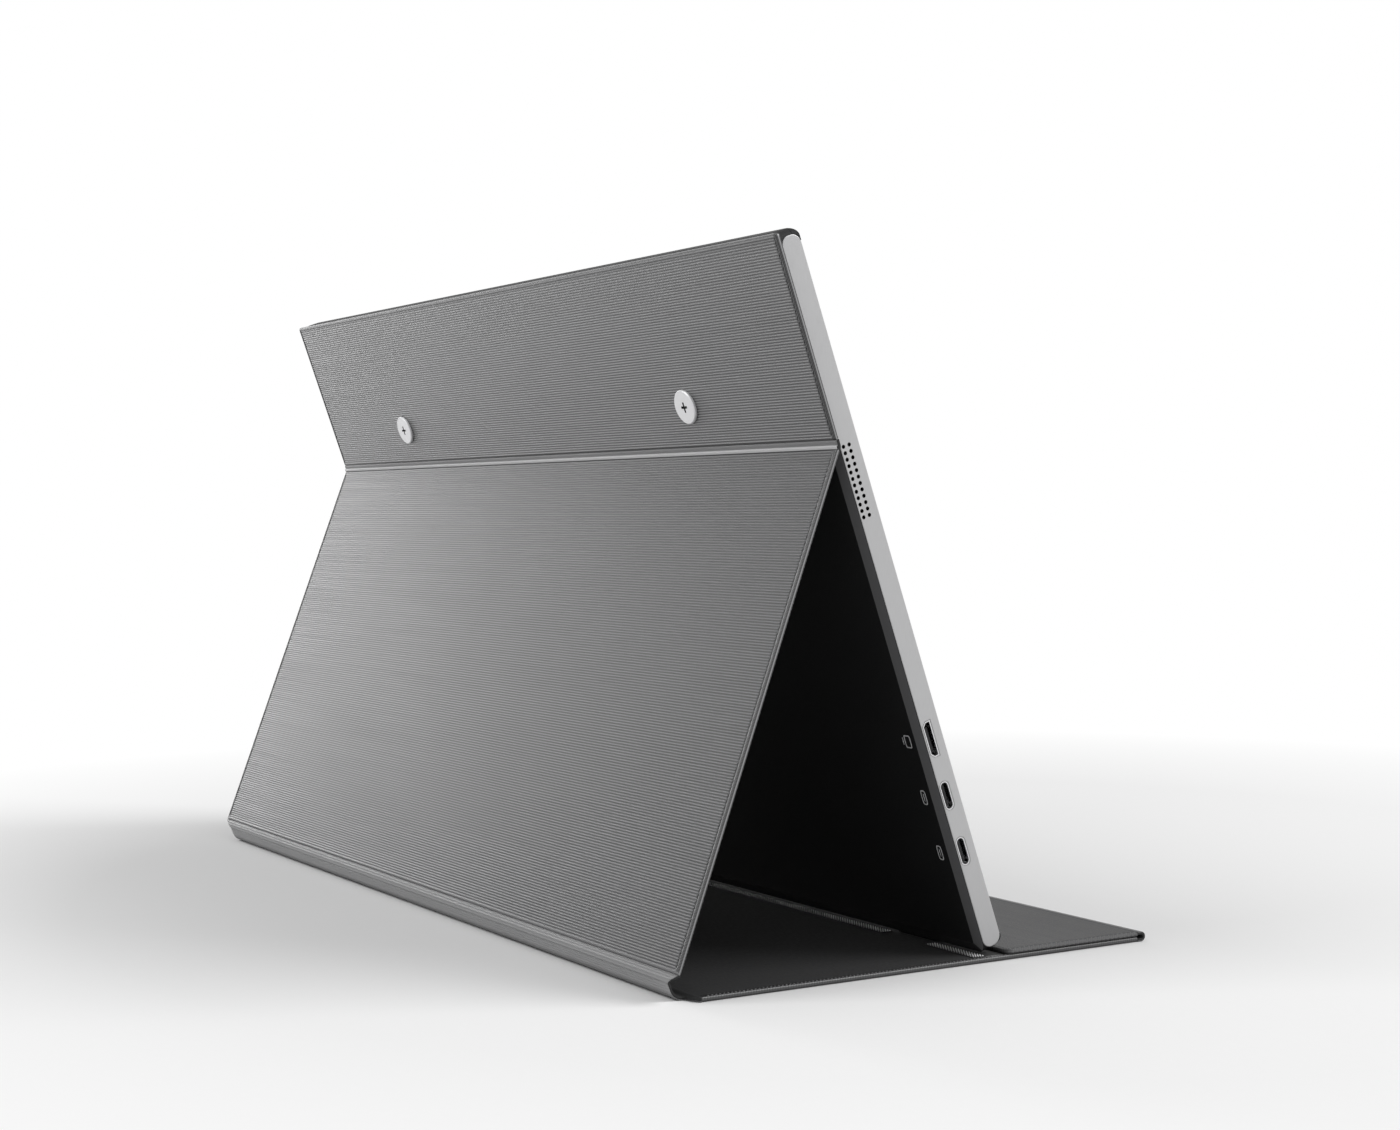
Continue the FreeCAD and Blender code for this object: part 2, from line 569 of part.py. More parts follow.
def front_bezel(outline):
    """Dark frame round the screen, with a hollow chin and clips behind its long edges."""
    wide = HALF_WIDTH + RAIL_THICKNESS
    back = PARTING - PARTING_GAP
    bezel = outline.cut(box(-wide, wide, back, CUT_PAST, -CUT_PAST, MONITOR_HEIGHT + CUT_PAST))
    for side in (-1, 1):
        bezel = bezel.cut(rail_form(side, RAIL_CLEARANCE))
    half = MODULE_WIDTH / 2 + MODULE_CLEARANCE
    bezel = bezel.cut(box(-half, half, FRONT + BEZEL_LIP, back,
                          MODULE_LOW - MODULE_CLEARANCE, MODULE_HIGH + MODULE_CLEARANCE))
    bezel = bezel.cut(box(-SCREEN_WIDTH / 2, SCREEN_WIDTH / 2, FRONT - CUT_PAST, back,
                          SCREEN_CHIN, SCREEN_CHIN + SCREEN_HEIGHT))
    bezel = bezel.cut(box(-half, half, FRONT + CHIN_FLOOR, back,
                          CHIN_WALL, MODULE_LOW - EDGE_WALL))
    pitch = 2 * half / CLIP_COUNT
    for index in range(CLIP_COUNT):
        middle = -half + pitch * (index + 0.5)
        for wall, turn in ((EDGE_WALL, 1), (MONITOR_HEIGHT - EDGE_WALL, -1)):
            near = wall + turn * RAIL_CLEARANCE
            bezel = bezel.fuse(box(middle - CLIP_WIDTH / 2, middle + CLIP_WIDTH / 2,
                                   back - CLIP_ROOT, PARTING + CLIP_REACH,
                                   near, near + turn * CLIP_THICKNESS))
    return bezel.removeSplitter()


def rail_with_tabs(side):
    """Plain rail with broken outer edges and two screw tabs on the shell floor."""
    rail = rail_form(side, 0)
    outer = [edge for edge in rail.Edges
             if all(abs(abs(vertex.X) - HALF_WIDTH) < SAME_PLACE for vertex in edge.Vertexes)]
    rail = rail.makeFillet(RAIL_EDGE_BREAK, outer)
    for middle, up in rail_tab_spots(side):
        tab = box(side * RAIL_INNER, side * (RAIL_INNER - RAIL_TAB_REACH),
                  SHELL_FLOOR, SHELL_FLOOR - RAIL_TAB_THICKNESS,
                  up - RAIL_TAB_WIDTH / 2, up + RAIL_TAB_WIDTH / 2)
        rail = rail.fuse(drill(tab, [(middle, up)], SMALL_SCREW_RADIUS + SMALL_SCREW_CLEARANCE, FRONT, 0))
    return rail


def drill_grille(rail, side):
    """Two rows of small round holes over the speaker."""
    for column in range(GRILLE_COLUMNS):
        up = GRILLE_MIDDLE_UP + (column - (GRILLE_COLUMNS - 1) / 2) * GRILLE_PITCH
        for row in range(GRILLE_ROWS):
            depth = SIDE_LINE + (row - (GRILLE_ROWS - 1) / 2) * GRILLE_ROW_PITCH
            start = vec(side * (RAIL_INNER - CUT_PAST), depth, up)
            along = vec(side * (RAIL_THICKNESS + 2 * CUT_PAST), 0, 0)
            rail = rail.cut(small_rod(GRILLE_HOLE_RADIUS, start, along))
    return rail


def cut_with_bevel(rail, side, cutter):
    """Cut a socket opening, with a small step round its rim that catches light."""
    inner = side * (RAIL_INNER - CUT_PAST)
    rim = side * (HALF_WIDTH - CUTOUT_BEVEL)
    outer = side * (HALF_WIDTH + CUT_PAST)
    rail = rail.cut(cutter(inner, outer, CUTOUT_CLEARANCE))
    return rail.cut(cutter(rim, outer, CUTOUT_CLEARANCE + CUTOUT_BEVEL))


def usb_cutter(up):
    """Cutter for one round-ended socket opening."""
    return lambda x0, x1, grow: pill(x0, x1, up, USB_LENGTH + 2 * grow, USB_HEIGHT + 2 * grow)


def port_rail():
    """Rail with the three sockets and a grille."""
    rail = drill_grille(rail_with_tabs(-1), -1)
    rail = cut_with_bevel(rail, -1, video_prism)
    for up in (MIDDLE_PORT_UP, LOWER_PORT_UP):
        rail = cut_with_bevel(rail, -1, usb_cutter(up))
    return rail


def button_rail():
    """Rail with the power button, the menu rocker, the round jack and a grille."""
    rail = drill_grille(rail_with_tabs(1), 1)
    inner = RAIL_INNER - CUT_PAST
    outer = HALF_WIDTH + CUT_PAST
    height = BUTTON_HEIGHT + 2 * BUTTON_CLEARANCE
    rail = rail.cut(pill(inner, outer, UPPER_PORT_UP, POWER_LENGTH + 2 * BUTTON_CLEARANCE, height))
    rail = rail.cut(pill(inner, outer, MIDDLE_PORT_UP, ROCKER_LENGTH + 2 * ROCKER_END_CLEARANCE, height))
    start = vec(inner, SIDE_LINE, LOWER_PORT_UP)
    return rail.cut(rod(JACK_BORE_RADIUS, start, vec(outer - inner, 0, 0)))


def usb_socket(up):
    """Round-ended metal shell, closed behind."""
    mouth = -HALF_WIDTH + SOCKET_SETBACK
    back = mouth + SOCKET_DEPTH
    shell = pill(mouth, back, up, USB_LENGTH, USB_HEIGHT)
    return shell.cut(pill(mouth - CUT_PAST, back - SOCKET_WALL, up,
                          USB_LENGTH - 2 * SOCKET_WALL, USB_HEIGHT - 2 * SOCKET_WALL))


def video_socket():
    """Wide metal shell with cut corners, closed behind."""
    mouth = -HALF_WIDTH + SOCKET_SETBACK
    back = mouth + SOCKET_DEPTH
    inside = video_prism(mouth - CUT_PAST, back - SOCKET_WALL, -SOCKET_WALL)
    return video_prism(mouth, back, 0).cut(inside)


def socket_tongues():
    """Contact tongues that stand on the socket backs."""
    tip = -HALF_WIDTH + SOCKET_SETBACK + TONGUE_SETBACK
    root = -HALF_WIDTH + SOCKET_SETBACK + SOCKET_DEPTH - SOCKET_WALL
    sizes = [
        (UPPER_PORT_UP, VIDEO_TONGUE_LENGTH, VIDEO_TONGUE_HEIGHT),
        (MIDDLE_PORT_UP, USB_TONGUE_LENGTH, USB_TONGUE_HEIGHT),
        (LOWER_PORT_UP, USB_TONGUE_LENGTH, USB_TONGUE_HEIGHT),
    ]
    return Part.makeCompound([
        box(tip, root, SIDE_LINE - height / 2, SIDE_LINE + height / 2, up - length / 2, up + length / 2)
        for up, length, height in sizes
    ])


def headphone_jack():
    """Block behind the rail with one round bore."""
    back = HALF_WIDTH - JACK_BORE_DEPTH - JACK_BACK_WALL
    half_height = JACK_BORE_RADIUS + JACK_WALL
    half_width = JACK_BORE_RADIUS + JACK_SIDE_WALL
    body = box(RAIL_INNER, back, SIDE_LINE - half_height, SIDE_LINE + half_height,
               LOWER_PORT_UP - half_width, LOWER_PORT_UP + half_width)
    start = vec(HALF_WIDTH - JACK_BORE_DEPTH, SIDE_LINE, LOWER_PORT_UP)
    return body.cut(rod(JACK_BORE_RADIUS, start, vec(JACK_BORE_DEPTH, 0, 0)))


def power_button():
    """Round-ended cap with a wider flange behind the rail."""
    flange_face = RAIL_INNER - FLANGE_GAP
    flange = pill(flange_face - POWER_FLANGE_THICKNESS, flange_face, UPPER_PORT_UP,
                  POWER_LENGTH + 2 * POWER_FLANGE_LIP, BUTTON_HEIGHT + 2 * POWER_FLANGE_LIP)
    cap = pill(flange_face, HALF_WIDTH + BUTTON_PROUD, UPPER_PORT_UP, POWER_LENGTH, BUTTON_HEIGHT)
    return flange.fuse(cap).removeSplitter()


def menu_rocker():
    """Long cap that tips about a cross pin behind the rail."""
    face = HALF_WIDTH + BUTTON_PROUD
    cap = pill(RAIL_INNER - ROCKER_SKIRT, face, MIDDLE_PORT_UP, ROCKER_LENGTH, BUTTON_HEIGHT)
    hub_start = vec(ROCKER_X, SIDE_LINE - BUTTON_HEIGHT / 2, MIDDLE_PORT_UP)
    hub = rod(ROCKER_HUB_RADIUS, hub_start, vec(0, BUTTON_HEIGHT, 0))
    reach = BUTTON_HEIGHT / 2 + BUTTON_CLEARANCE + BRACKET_EAR
    stub_start = vec(ROCKER_X, SIDE_LINE - reach, MIDDLE_PORT_UP)
    stub = rod(ROCKER_STUB_RADIUS, stub_start, vec(0, 2 * reach, 0))
    return cap.fuse(hub).fuse(stub).removeSplitter()


def rocker_bracket():
    """Forked bearing that stands on the shell floor and holds the rocker's pin."""
    inner_face = BUTTON_HEIGHT / 2 + BUTTON_CLEARANCE
    front = SIDE_LINE - inner_face - BRACKET_EAR
    low = MIDDLE_PORT_UP - BRACKET_HALF_WIDTH
    high = MIDDLE_PORT_UP + BRACKET_HALF_WIDTH
    outer = RAIL_INNER - FLANGE_GAP
    fork = box(KEY_BOARD_OUTER_X, outer, front, SHELL_FLOOR, low, high)
    slot = box(KEY_BOARD_OUTER_X + BRACKET_EAR, outer + CUT_PAST,
               SIDE_LINE - inner_face, SIDE_LINE + inner_face, low - CUT_PAST, high + CUT_PAST)
    hole_start = vec(ROCKER_X, front - CUT_PAST, MIDDLE_PORT_UP)
    hole_along = vec(0, SIDE_LINE + inner_face + BRACKET_EAR + FLANGE_GAP - hole_start.y, 0)
    hole = rod(ROCKER_STUB_RADIUS + ROCKER_STUB_CLEARANCE, hole_start, hole_along)
    return fork.cut(slot).cut(hole)


def tact_switches():
    """Small side-push switches on the key board, behind the button and both rocker ends."""
    tip = RAIL_INNER - FLANGE_GAP - POWER_FLANGE_THICKNESS - SWITCH_GAP
    face = tip - SWITCH_PLUNGER_LENGTH
    switches = []
    rocker_ends = [MIDDLE_PORT_UP - ROCKER_SWITCH_OFFSET, MIDDLE_PORT_UP + ROCKER_SWITCH_OFFSET]
    for up in [UPPER_PORT_UP] + rocker_ends:
        body = box(face - SWITCH_DEPTH, face, BOARD_FRONT - SWITCH_HEIGHT, BOARD_FRONT,
                   up - SWITCH_WIDTH / 2, up + SWITCH_WIDTH / 2)
        along = vec(SWITCH_PLUNGER_LENGTH, 0, 0)
        plunger = small_rod(SWITCH_PLUNGER_RADIUS, vec(face, SIDE_LINE, up), along)
        switches.append(body.fuse(plunger))
    return Part.makeCompound(switches)


def module_sheet(front, thickness, inset, low_inset):
    """One flat layer of the display module."""
    half = MODULE_WIDTH / 2 - inset
    return box(-half, half, front, front + thickness, MODULE_LOW + low_inset, MODULE_HIGH - inset)


def panel_chassis():
    """Shallow metal tray round the light layers."""
    half = MODULE_WIDTH / 2
    tray = box(-half, half, FILM_FRONT, CHASSIS_REAR, MODULE_LOW, MODULE_HIGH)
    inner = half - CHASSIS_WALL
    return tray.cut(box(-inner, inner, FILM_FRONT - CUT_PAST, CHASSIS_FRONT,
                        MODULE_LOW + CHASSIS_WALL, MODULE_HIGH - CHASSIS_WALL))


def display_module():
    """Display layers from the cell back to the tray."""
    inset = CHASSIS_WALL + FILM_CLEARANCE
    guide_low = inset + LED_STRIP_WIDTH + FILM_CLEARANCE
    half = MODULE_WIDTH / 2 - inset
    strip = box(-half, half, GUIDE_FRONT, REFLECTOR_FRONT,
                MODULE_LOW + inset, MODULE_LOW + inset + LED_STRIP_WIDTH)
    return {
        "display_cell": module_sheet(CELL_FRONT, CELL_THICKNESS, 0, 0),
        "optical_films": module_sheet(FILM_FRONT, FILM_THICKNESS, inset, inset),
        "light_guide": module_sheet(GUIDE_FRONT, GUIDE_THICKNESS, inset, guide_low),
        "led_strip": strip,
        "reflector_sheet": module_sheet(REFLECTOR_FRONT, REFLECTOR_THICKNESS, inset, inset),
        "panel_chassis": panel_chassis(),
    }


def driver_board():
    """Narrow board on the back of the tray, with the ribbon's lower socket."""
    low = MODULE_LOW + DRIVER_BOARD_INSET
    board = box(-DRIVER_BOARD_HALF, DRIVER_BOARD_HALF, CHASSIS_REAR, DRIVER_BOARD_REAR,
                low, low + DRIVER_BOARD_HEIGHT)
    socket = box(-RIBBON_X - RIBBON_WIDTH / 2, -RIBBON_X + RIBBON_WIDTH / 2,
                 DRIVER_BOARD_REAR, RIBBON_FRONT, low, low + RIBBON_SOCKET_WIDTH)
    return board.fuse(socket).removeSplitter()


def display_ribbon():
    """Flat cable from the main board's socket down to the driver board's."""
    low = MODULE_LOW + DRIVER_BOARD_INSET
    return box(-RIBBON_X - RIBBON_WIDTH / 2, -RIBBON_X + RIBBON_WIDTH / 2,
               RIBBON_FRONT, RIBBON_REAR,
               low, RIBBON_SOCKET_UP + RIBBON_SOCKET_WIDTH / 2)


def main_board():
    """Board with notches round the sockets and the ribbon's upper socket."""
    board = box(-BOARD_OUTER_X, -BOARD_INNER_X, BOARD_FRONT, BOARD_REAR, BOARD_LOW_UP, BOARD_HIGH_UP)
    notch_end = -HALF_WIDTH + SOCKET_SETBACK + SOCKET_DEPTH + CUTOUT_CLEARANCE
    sockets = [(UPPER_PORT_UP, VIDEO_LENGTH), (MIDDLE_PORT_UP, USB_LENGTH), (LOWER_PORT_UP, USB_LENGTH)]
    for up, length in sockets:
        reach = length / 2 + CUTOUT_CLEARANCE
        board = board.cut(box(-HALF_WIDTH, notch_end, FRONT, 0, up - reach, up + reach))
    board = drill(board, main_board_spots(), SMALL_SCREW_RADIUS + SMALL_SCREW_CLEARANCE, FRONT, 0)
    socket = box(-RIBBON_X - RIBBON_WIDTH / 2, -RIBBON_X + RIBBON_WIDTH / 2, BOARD_FRONT, RIBBON_REAR,
                 RIBBON_SOCKET_UP - RIBBON_SOCKET_WIDTH / 2, RIBBON_SOCKET_UP + RIBBON_SOCKET_WIDTH / 2)
    return board.fuse(socket).removeSplitter()


def board_parts():
    """Display chip, its pad and the can over both."""
    chip_front = BOARD_FRONT - CHIP_HEIGHT
    pad_front = chip_front - PAD_HEIGHT
    half = CHIP_SIZE / 2
    can_half = CAN_SIZE / 2
    hollow = can_half - CAN_SHEET
    can = box(-CAN_X - can_half, -CAN_X + can_half, pad_front - CAN_SHEET, BOARD_FRONT,
              CAN_UP - can_half, CAN_UP + can_half)
    can = can.cut(box(-CAN_X - hollow, -CAN_X + hollow, pad_front, BOARD_FRONT + CUT_PAST,
                      CAN_UP - hollow, CAN_UP + hollow))
    chip = box(-CAN_X - half, -CAN_X + half, chip_front, BOARD_FRONT, CAN_UP - half, CAN_UP + half)
    pad = box(-CAN_X - half, -CAN_X + half, pad_front, chip_front, CAN_UP - half, CAN_UP + half)
    return {"scaler_chip": chip, "thermal_pad": pad, "shield_can": can}


def key_board():
    """Small board behind the side controls."""
    board = box(KEY_BOARD_INNER_X, KEY_BOARD_OUTER_X, BOARD_FRONT, BOARD_REAR,
                KEY_BOARD_LOW_UP, KEY_BOARD_HIGH_UP)
    return drill(board, key_board_spots(), SMALL_SCREW_RADIUS + SMALL_SCREW_CLEARANCE, FRONT, 0)


def small_screw(x, up, seat):
    """Pan screw whose head sits at a given depth, driven towards the back."""
    head = small_rod(SMALL_SCREW_HEAD_RADIUS, vec(x, seat, up), vec(0, -SMALL_SCREW_HEAD, 0))
    shank = small_rod(SMALL_SCREW_RADIUS, vec(x, seat, up), vec(0, -SMALL_SCREW_TIP_DEPTH - seat, 0))
    return head.fuse(shank)


def board_screws():
    """Screws of both boards."""
    spots = main_board_spots() + key_board_spots()
    return Part.makeCompound([small_screw(x, up, BOARD_FRONT) for x, up in spots])


def rail_screws():
    """Screws of the rail tabs."""
    seat = SHELL_FLOOR - RAIL_TAB_THICKNESS
    spots = rail_tab_spots(-1) + rail_tab_spots(1)
    return Part.makeCompound([small_screw(x, up, seat) for x, up in spots])


def key_ribbon():
    """Flat cable along the shell floor, tucked under both boards."""
    return box(-BOARD_INNER_X - FLEX_LAP, KEY_BOARD_INNER_X + FLEX_LAP,
               SHELL_FLOOR - RIBBON_THICKNESS, SHELL_FLOOR,
               KEY_RIBBON_UP - KEY_RIBBON_WIDTH / 2, KEY_RIBBON_UP + KEY_RIBBON_WIDTH / 2)


def speaker_flexes():
    """Flat leads along the shell floor from the main board to each speaker."""
    rear = SHELL_FLOOR
    front = SHELL_FLOOR - RIBBON_THICKNESS
    speaker_low = GRILLE_MIDDLE_UP - SPEAKER_LENGTH / 2
    left_x = -SPEAKER_OUTER_X + SPEAKER_FLEX_INSET
    right_x = SPEAKER_OUTER_X - SPEAKER_FLEX_INSET
    left = box(left_x - FLEX_WIDTH / 2, left_x + FLEX_WIDTH / 2, front, rear,
               BOARD_HIGH_UP - FLEX_LAP, speaker_low + FLEX_LAP)
    run = box(-BOARD_INNER_X - FLEX_LAP, right_x + FLEX_WIDTH / 2, front, rear,
              SPEAKER_FLEX_UP, SPEAKER_FLEX_UP + FLEX_WIDTH)
    riser = box(right_x - FLEX_WIDTH / 2, right_x + FLEX_WIDTH / 2, front, rear,
                SPEAKER_FLEX_UP, speaker_low + FLEX_LAP)
    return Part.makeCompound([left, run.fuse(riser).removeSplitter()])


def speaker(side):
    """Flat speaker box with a sound slot towards the grille."""
    low = GRILLE_MIDDLE_UP - SPEAKER_LENGTH / 2
    high = GRILLE_MIDDLE_UP + SPEAKER_LENGTH / 2
    body = box(side * SPEAKER_INNER_X, side * SPEAKER_OUTER_X, SPEAKER_FRONT, SPEAKER_REAR, low, high)
    slot = box(side * (SPEAKER_OUTER_X - SPEAKER_SLOT_DEPTH), side * (SPEAKER_OUTER_X + CUT_PAST),
               SPEAKER_FRONT + SPEAKER_SLOT_LIP, SPEAKER_REAR - SPEAKER_SLOT_LIP,
               low + GASKET_RIM, high - GASKET_RIM)
    return body.cut(slot)


def speaker_gaskets():
    """Soft rims between the speakers and the rails."""
    low = GRILLE_MIDDLE_UP - SPEAKER_LENGTH / 2
    high = GRILLE_MIDDLE_UP + SPEAKER_LENGTH / 2
    gaskets = []
    for side in (-1, 1):
        rim = box(side * SPEAKER_OUTER_X, side * RAIL_INNER, SPEAKER_FRONT, SPEAKER_REAR, low, high)
        opening = box(side * (SPEAKER_OUTER_X - CUT_PAST), side * HALF_WIDTH,
                      SPEAKER_FRONT + SPEAKER_SLOT_LIP, SPEAKER_REAR - SPEAKER_SLOT_LIP,
                      low + GASKET_RIM, high - GASKET_RIM)
        gaskets.append(rim.cut(opening))
    return Part.makeCompound(gaskets)


def screw_inserts():
    """Threaded sleeves in the shell bosses."""
    inserts = []
    for x, up in cover_screw_spots():
        along = vec(0, INSERT_TIP + INSERT_START, 0)
        sleeve = rod(INSERT_RADIUS, vec(x, -INSERT_START, up), along)
        inserts.append(sleeve.cut(rod(INSERT_BORE_RADIUS, vec(x, -INSERT_START, up), along)))
    return Part.makeCompound(inserts)


def cover_screws():
    """Flat disc screws that clamp the upper panel to the shell."""
    seat = TAPE_THICKNESS + PANEL_THICKNESS
    screws = []
    for x, up in cover_screw_spots():
        head = rod(COVER_SCREW_HEAD_RADIUS, vec(x, seat, up), vec(0, COVER_SCREW_HEAD, 0))
        rim = [edge for edge in head.Edges
               if abs(edge.BoundBox.YMin - seat - COVER_SCREW_HEAD) < SAME_PLACE]
        head = head.makeChamfer(COVER_SCREW_EDGE, rim)
        face = seat + COVER_SCREW_HEAD
        arm = CROSS_LENGTH / 2
        half = CROSS_WIDTH / 2
        floor = face - CROSS_DEPTH
        head = head.cut(box(x - arm, x + arm, floor, face + CUT_PAST, up - half, up + half))
        head = head.cut(box(x - half, x + half, floor, face + CUT_PAST, up - arm, up + arm))
        shank = rod(COVER_SCREW_RADIUS, vec(x, seat, up), vec(0, COVER_SCREW_TIP - seat, 0))
        screws.append(head.fuse(shank).removeSplitter())
    return Part.makeCompound(screws)


def shell_magnets():
    """Bar magnets glued to the shell floor, facing those in the leg."""
    return Part.makeCompound([
        box(side * MAGNET_X - MAGNET_LENGTH / 2, side * MAGNET_X + MAGNET_LENGTH / 2,
            SHELL_FLOOR - SHELL_MAGNET_THICKNESS, SHELL_FLOOR,
            MAGNET_UP - MAGNET_WIDTH / 2, MAGNET_UP + MAGNET_WIDTH / 2)
        for side in (-1, 1)
    ])


def monitor_feet():
    """Rubber wedges under the lower edge, level with the base when the slab leans."""
    def sole(depth):
        rise = PANEL_THICKNESS + FOOT_GAP - MONITOR_Z
        return (rise + depth * math.sin(LEAN)) / math.cos(LEAN)

    feet = []
    for side in (-1, 1):
        x = side * FOOT_X - FOOT_LENGTH / 2
        feet.append(polygon_prism([
            vec(x, -FOOT_REAR_DEPTH, FOOT_SEAT),
            vec(x, -FOOT_REAR_DEPTH, sole(-FOOT_REAR_DEPTH)),
            vec(x, -FOOT_FRONT_DEPTH, sole(-FOOT_FRONT_DEPTH)),
            vec(x, -FOOT_FRONT_DEPTH, FOOT_SEAT),
        ], vec(FOOT_LENGTH, 0, 0)))
    return Part.makeCompound(feet)


def stiff_panel(length, holes=(), pockets=()):
    """Skin, board and lining of one panel.

    X runs across, Y from the lining out to the skin, Z along the length from 0.
    Holes go through every layer; pockets are cut in the board for magnets.
    """
    inner = HALF_COVER - PANEL_LIP
    board_out = LINING_THICKNESS + STIFFENER_THICKNESS
    skin = rounded_plate(-HALF_COVER, HALF_COVER, 0, PANEL_THICKNESS, 0, length, PANEL_CORNER)
    skin = skin.cut(box(-inner, inner, -CUT_PAST, board_out, PANEL_LIP, length - PANEL_LIP))
    floor = PANEL_THICKNESS - STITCH_DEPTH
    outer_ring = HALF_COVER - STITCH_INSET
    inner_ring = outer_ring - STITCH_GROOVE
    top = PANEL_THICKNESS + CUT_PAST
    ring = box(-outer_ring, outer_ring, floor, top, STITCH_INSET, length - STITCH_INSET)
    ring = ring.cut(box(-inner_ring, inner_ring, floor, top,
                        STITCH_INSET + STITCH_GROOVE, length - STITCH_INSET - STITCH_GROOVE))
    skin = skin.cut(ring)
    board = box(-inner, inner, LINING_THICKNESS, board_out, PANEL_LIP, length - PANEL_LIP)
    lining = box(-inner, inner, 0, LINING_THICKNESS, PANEL_LIP, length - PANEL_LIP)
    for x, along in pockets:
        board = board.cut(magnet(x, along))
    skin, board, lining = [drill(layer, holes, COVER_SCREW_HOLE_RADIUS, -CUT_PAST, top)
                           for layer in (skin, board, lining)]
    return skin, board, lining


def magnet(x, along):
    """Bar magnet as thick as the board that holds it."""
    return box(x - MAGNET_LENGTH / 2, x + MAGNET_LENGTH / 2,
               LINING_THICKNESS, LINING_THICKNESS + STIFFENER_THICKNESS,
               along - MAGNET_WIDTH / 2, along + MAGNET_WIDTH / 2)


def hem_strip():
    """Flat strip that ends in a half-round fold, centred on the local X axis."""
    r = HEM_RADIUS
    x = -HALF_COVER
    return edge_prism([
        line(vec(x, -r, 0), vec(x, -r, HEM_WEB)),
        line(vec(x, -r, HEM_WEB), vec(x, r, HEM_WEB)),
        line(vec(x, r, HEM_WEB), vec(x, r, 0)),
        arc(vec(x, r, 0), vec(x, 0, -r), vec(x, -r, 0)),
    ], vec(COVER_WIDTH, 0, 0))


def bent_strip(inner_radius, outer_radius, start, end):
    """Strip bent about the local X axis between two angles, measured from +Y to +Z."""
    def spot(radius, angle):
        return vec(-HALF_COVER, radius * math.cos(angle), radius * math.sin(angle))

    middle = (start + end) / 2
    return edge_prism([
        line(spot(inner_radius, start), spot(outer_radius, start)),
        arc(spot(outer_radius, start), spot(outer_radius, middle), spot(outer_radius, end)),
        line(spot(outer_radius, end), spot(inner_radius, end)),
        arc(spot(inner_radius, end), spot(inner_radius, middle), spot(inner_radius, start)),
    ], vec(COVER_WIDTH, 0, 0))


def upper_panel():
    """Fixed panel over the top of the slab's back, with its tape and crease."""
    low = CREASE_UP + HEM_WEB
    length = MONITOR_HEIGHT - low
    holes = [(x, up - low) for x, up in cover_screw_spots()]
    layers = [layer.translated(vec(0, TAPE_THICKNESS, low)) for layer in stiff_panel(length, holes)]
    half = HALF_WIDTH - CHAMFER_WIDTH - TAPE_INSET
    high = MONITOR_HEIGHT - CHAMFER_WIDTH - TAPE_INSET
    tape = box(-half, half, 0, TAPE_THICKNESS, low + TAPE_INSET, high)
    tape = drill(tape, cover_screw_spots(), COVER_SCREW_HOLE_RADIUS, 0, TAPE_THICKNESS)
    return {
        "upper_panel_skin": layers[0],
        "upper_panel_board": layers[1],
        "upper_panel_lining": layers[2],
        "cover_tape": tape,
        "crease_fold": hem_strip().translated(vec(0, CREASE_DEPTH, CREASE_UP)),
    }


def leg_panel():
    """Swinging prop below the crease, drawn with the crease at the origin."""
    low = HEM_WEB - LEG_LENGTH
    length = -HEM_RADIUS - FOLD_GAP - low
    spots = [(side * MAGNET_X, MAGNET_UP - CREASE_UP - low) for side in (-1, 1)]
    layers = stiff_panel(length, pockets=spots)
    seat = vec(0, -PANEL_THICKNESS / 2, low)
    magnets = Part.makeCompound([magnet(x, along) for x, along in spots])
    return {
        "leg_skin": layers[0].translated(seat),
        "leg_board": layers[1].translated(seat),
        "leg_lining": layers[2].translated(seat),
        "leg_magnets": magnets.translated(seat),
        "leg_hem": hem_strip().translated(vec(0, 0, -LEG_LENGTH)),
    }


def spine_strip(inner_radius, outer_radius):
    """One layer of the spine: a bend off the floor, a flange up to the leg, and scooped ends."""
    bend = bent_strip(inner_radius, outer_radius, -math.pi / 2, -SPINE_LEAN)
    flange = box(-HALF_COVER, HALF_COVER, inner_radius, outer_radius,
                 0, SPINE_RISE - HEM_RADIUS - FOLD_GAP)
    flange.rotate(vec(0, 0, 0), vec(1, 0, 0), -SPINE_LEAN_DEG)
    layer = bend.fuse(flange).removeSplitter()
    for side in (-1, 1):
        x = side * (HALF_COVER - SCOOP_DEPTH + SCOOP_RADIUS)
        start = vec(x, -SPINE_RADIUS, SCOOP_UP - SPINE_RADIUS)
        layer = layer.cut(rod(SCOOP_RADIUS, start, vec(0, SCOOP_LENGTH, 0)))
    return place(layer, 0, SPINE_Y, SPINE_RADIUS)


def spine():
    """Soft rounded strip between the leg and the base."""
    seam = SPINE_RADIUS - SKIN_THICKNESS
    return {
        "spine_skin": spine_strip(seam, SPINE_RADIUS),
        "spine_lining": spine_strip(SPINE_RADIUS - SPINE_THICKNESS, seam),
    }


def grip_strip(x0, x1):
    """Low strip with broken upper edges, standing on the base lining."""
    y0 = GRIP_BEHIND
    y1 = GRIP_BEHIND + GRIP_WIDTH
    low = PANEL_THICKNESS
    high = PANEL_THICKNESS + GRIP_THICKNESS
    return polygon_prism([
        vec(x0, y0, low),
        vec(x0, y0, high - GRIP_CORNER),
        vec(x0, y0 + GRIP_CORNER, high),
        vec(x0, y1 - GRIP_CORNER, high),
        vec(x0, y1, high - GRIP_CORNER),
        vec(x0, y1, low),
    ], vec(x1 - x0, 0, 0))


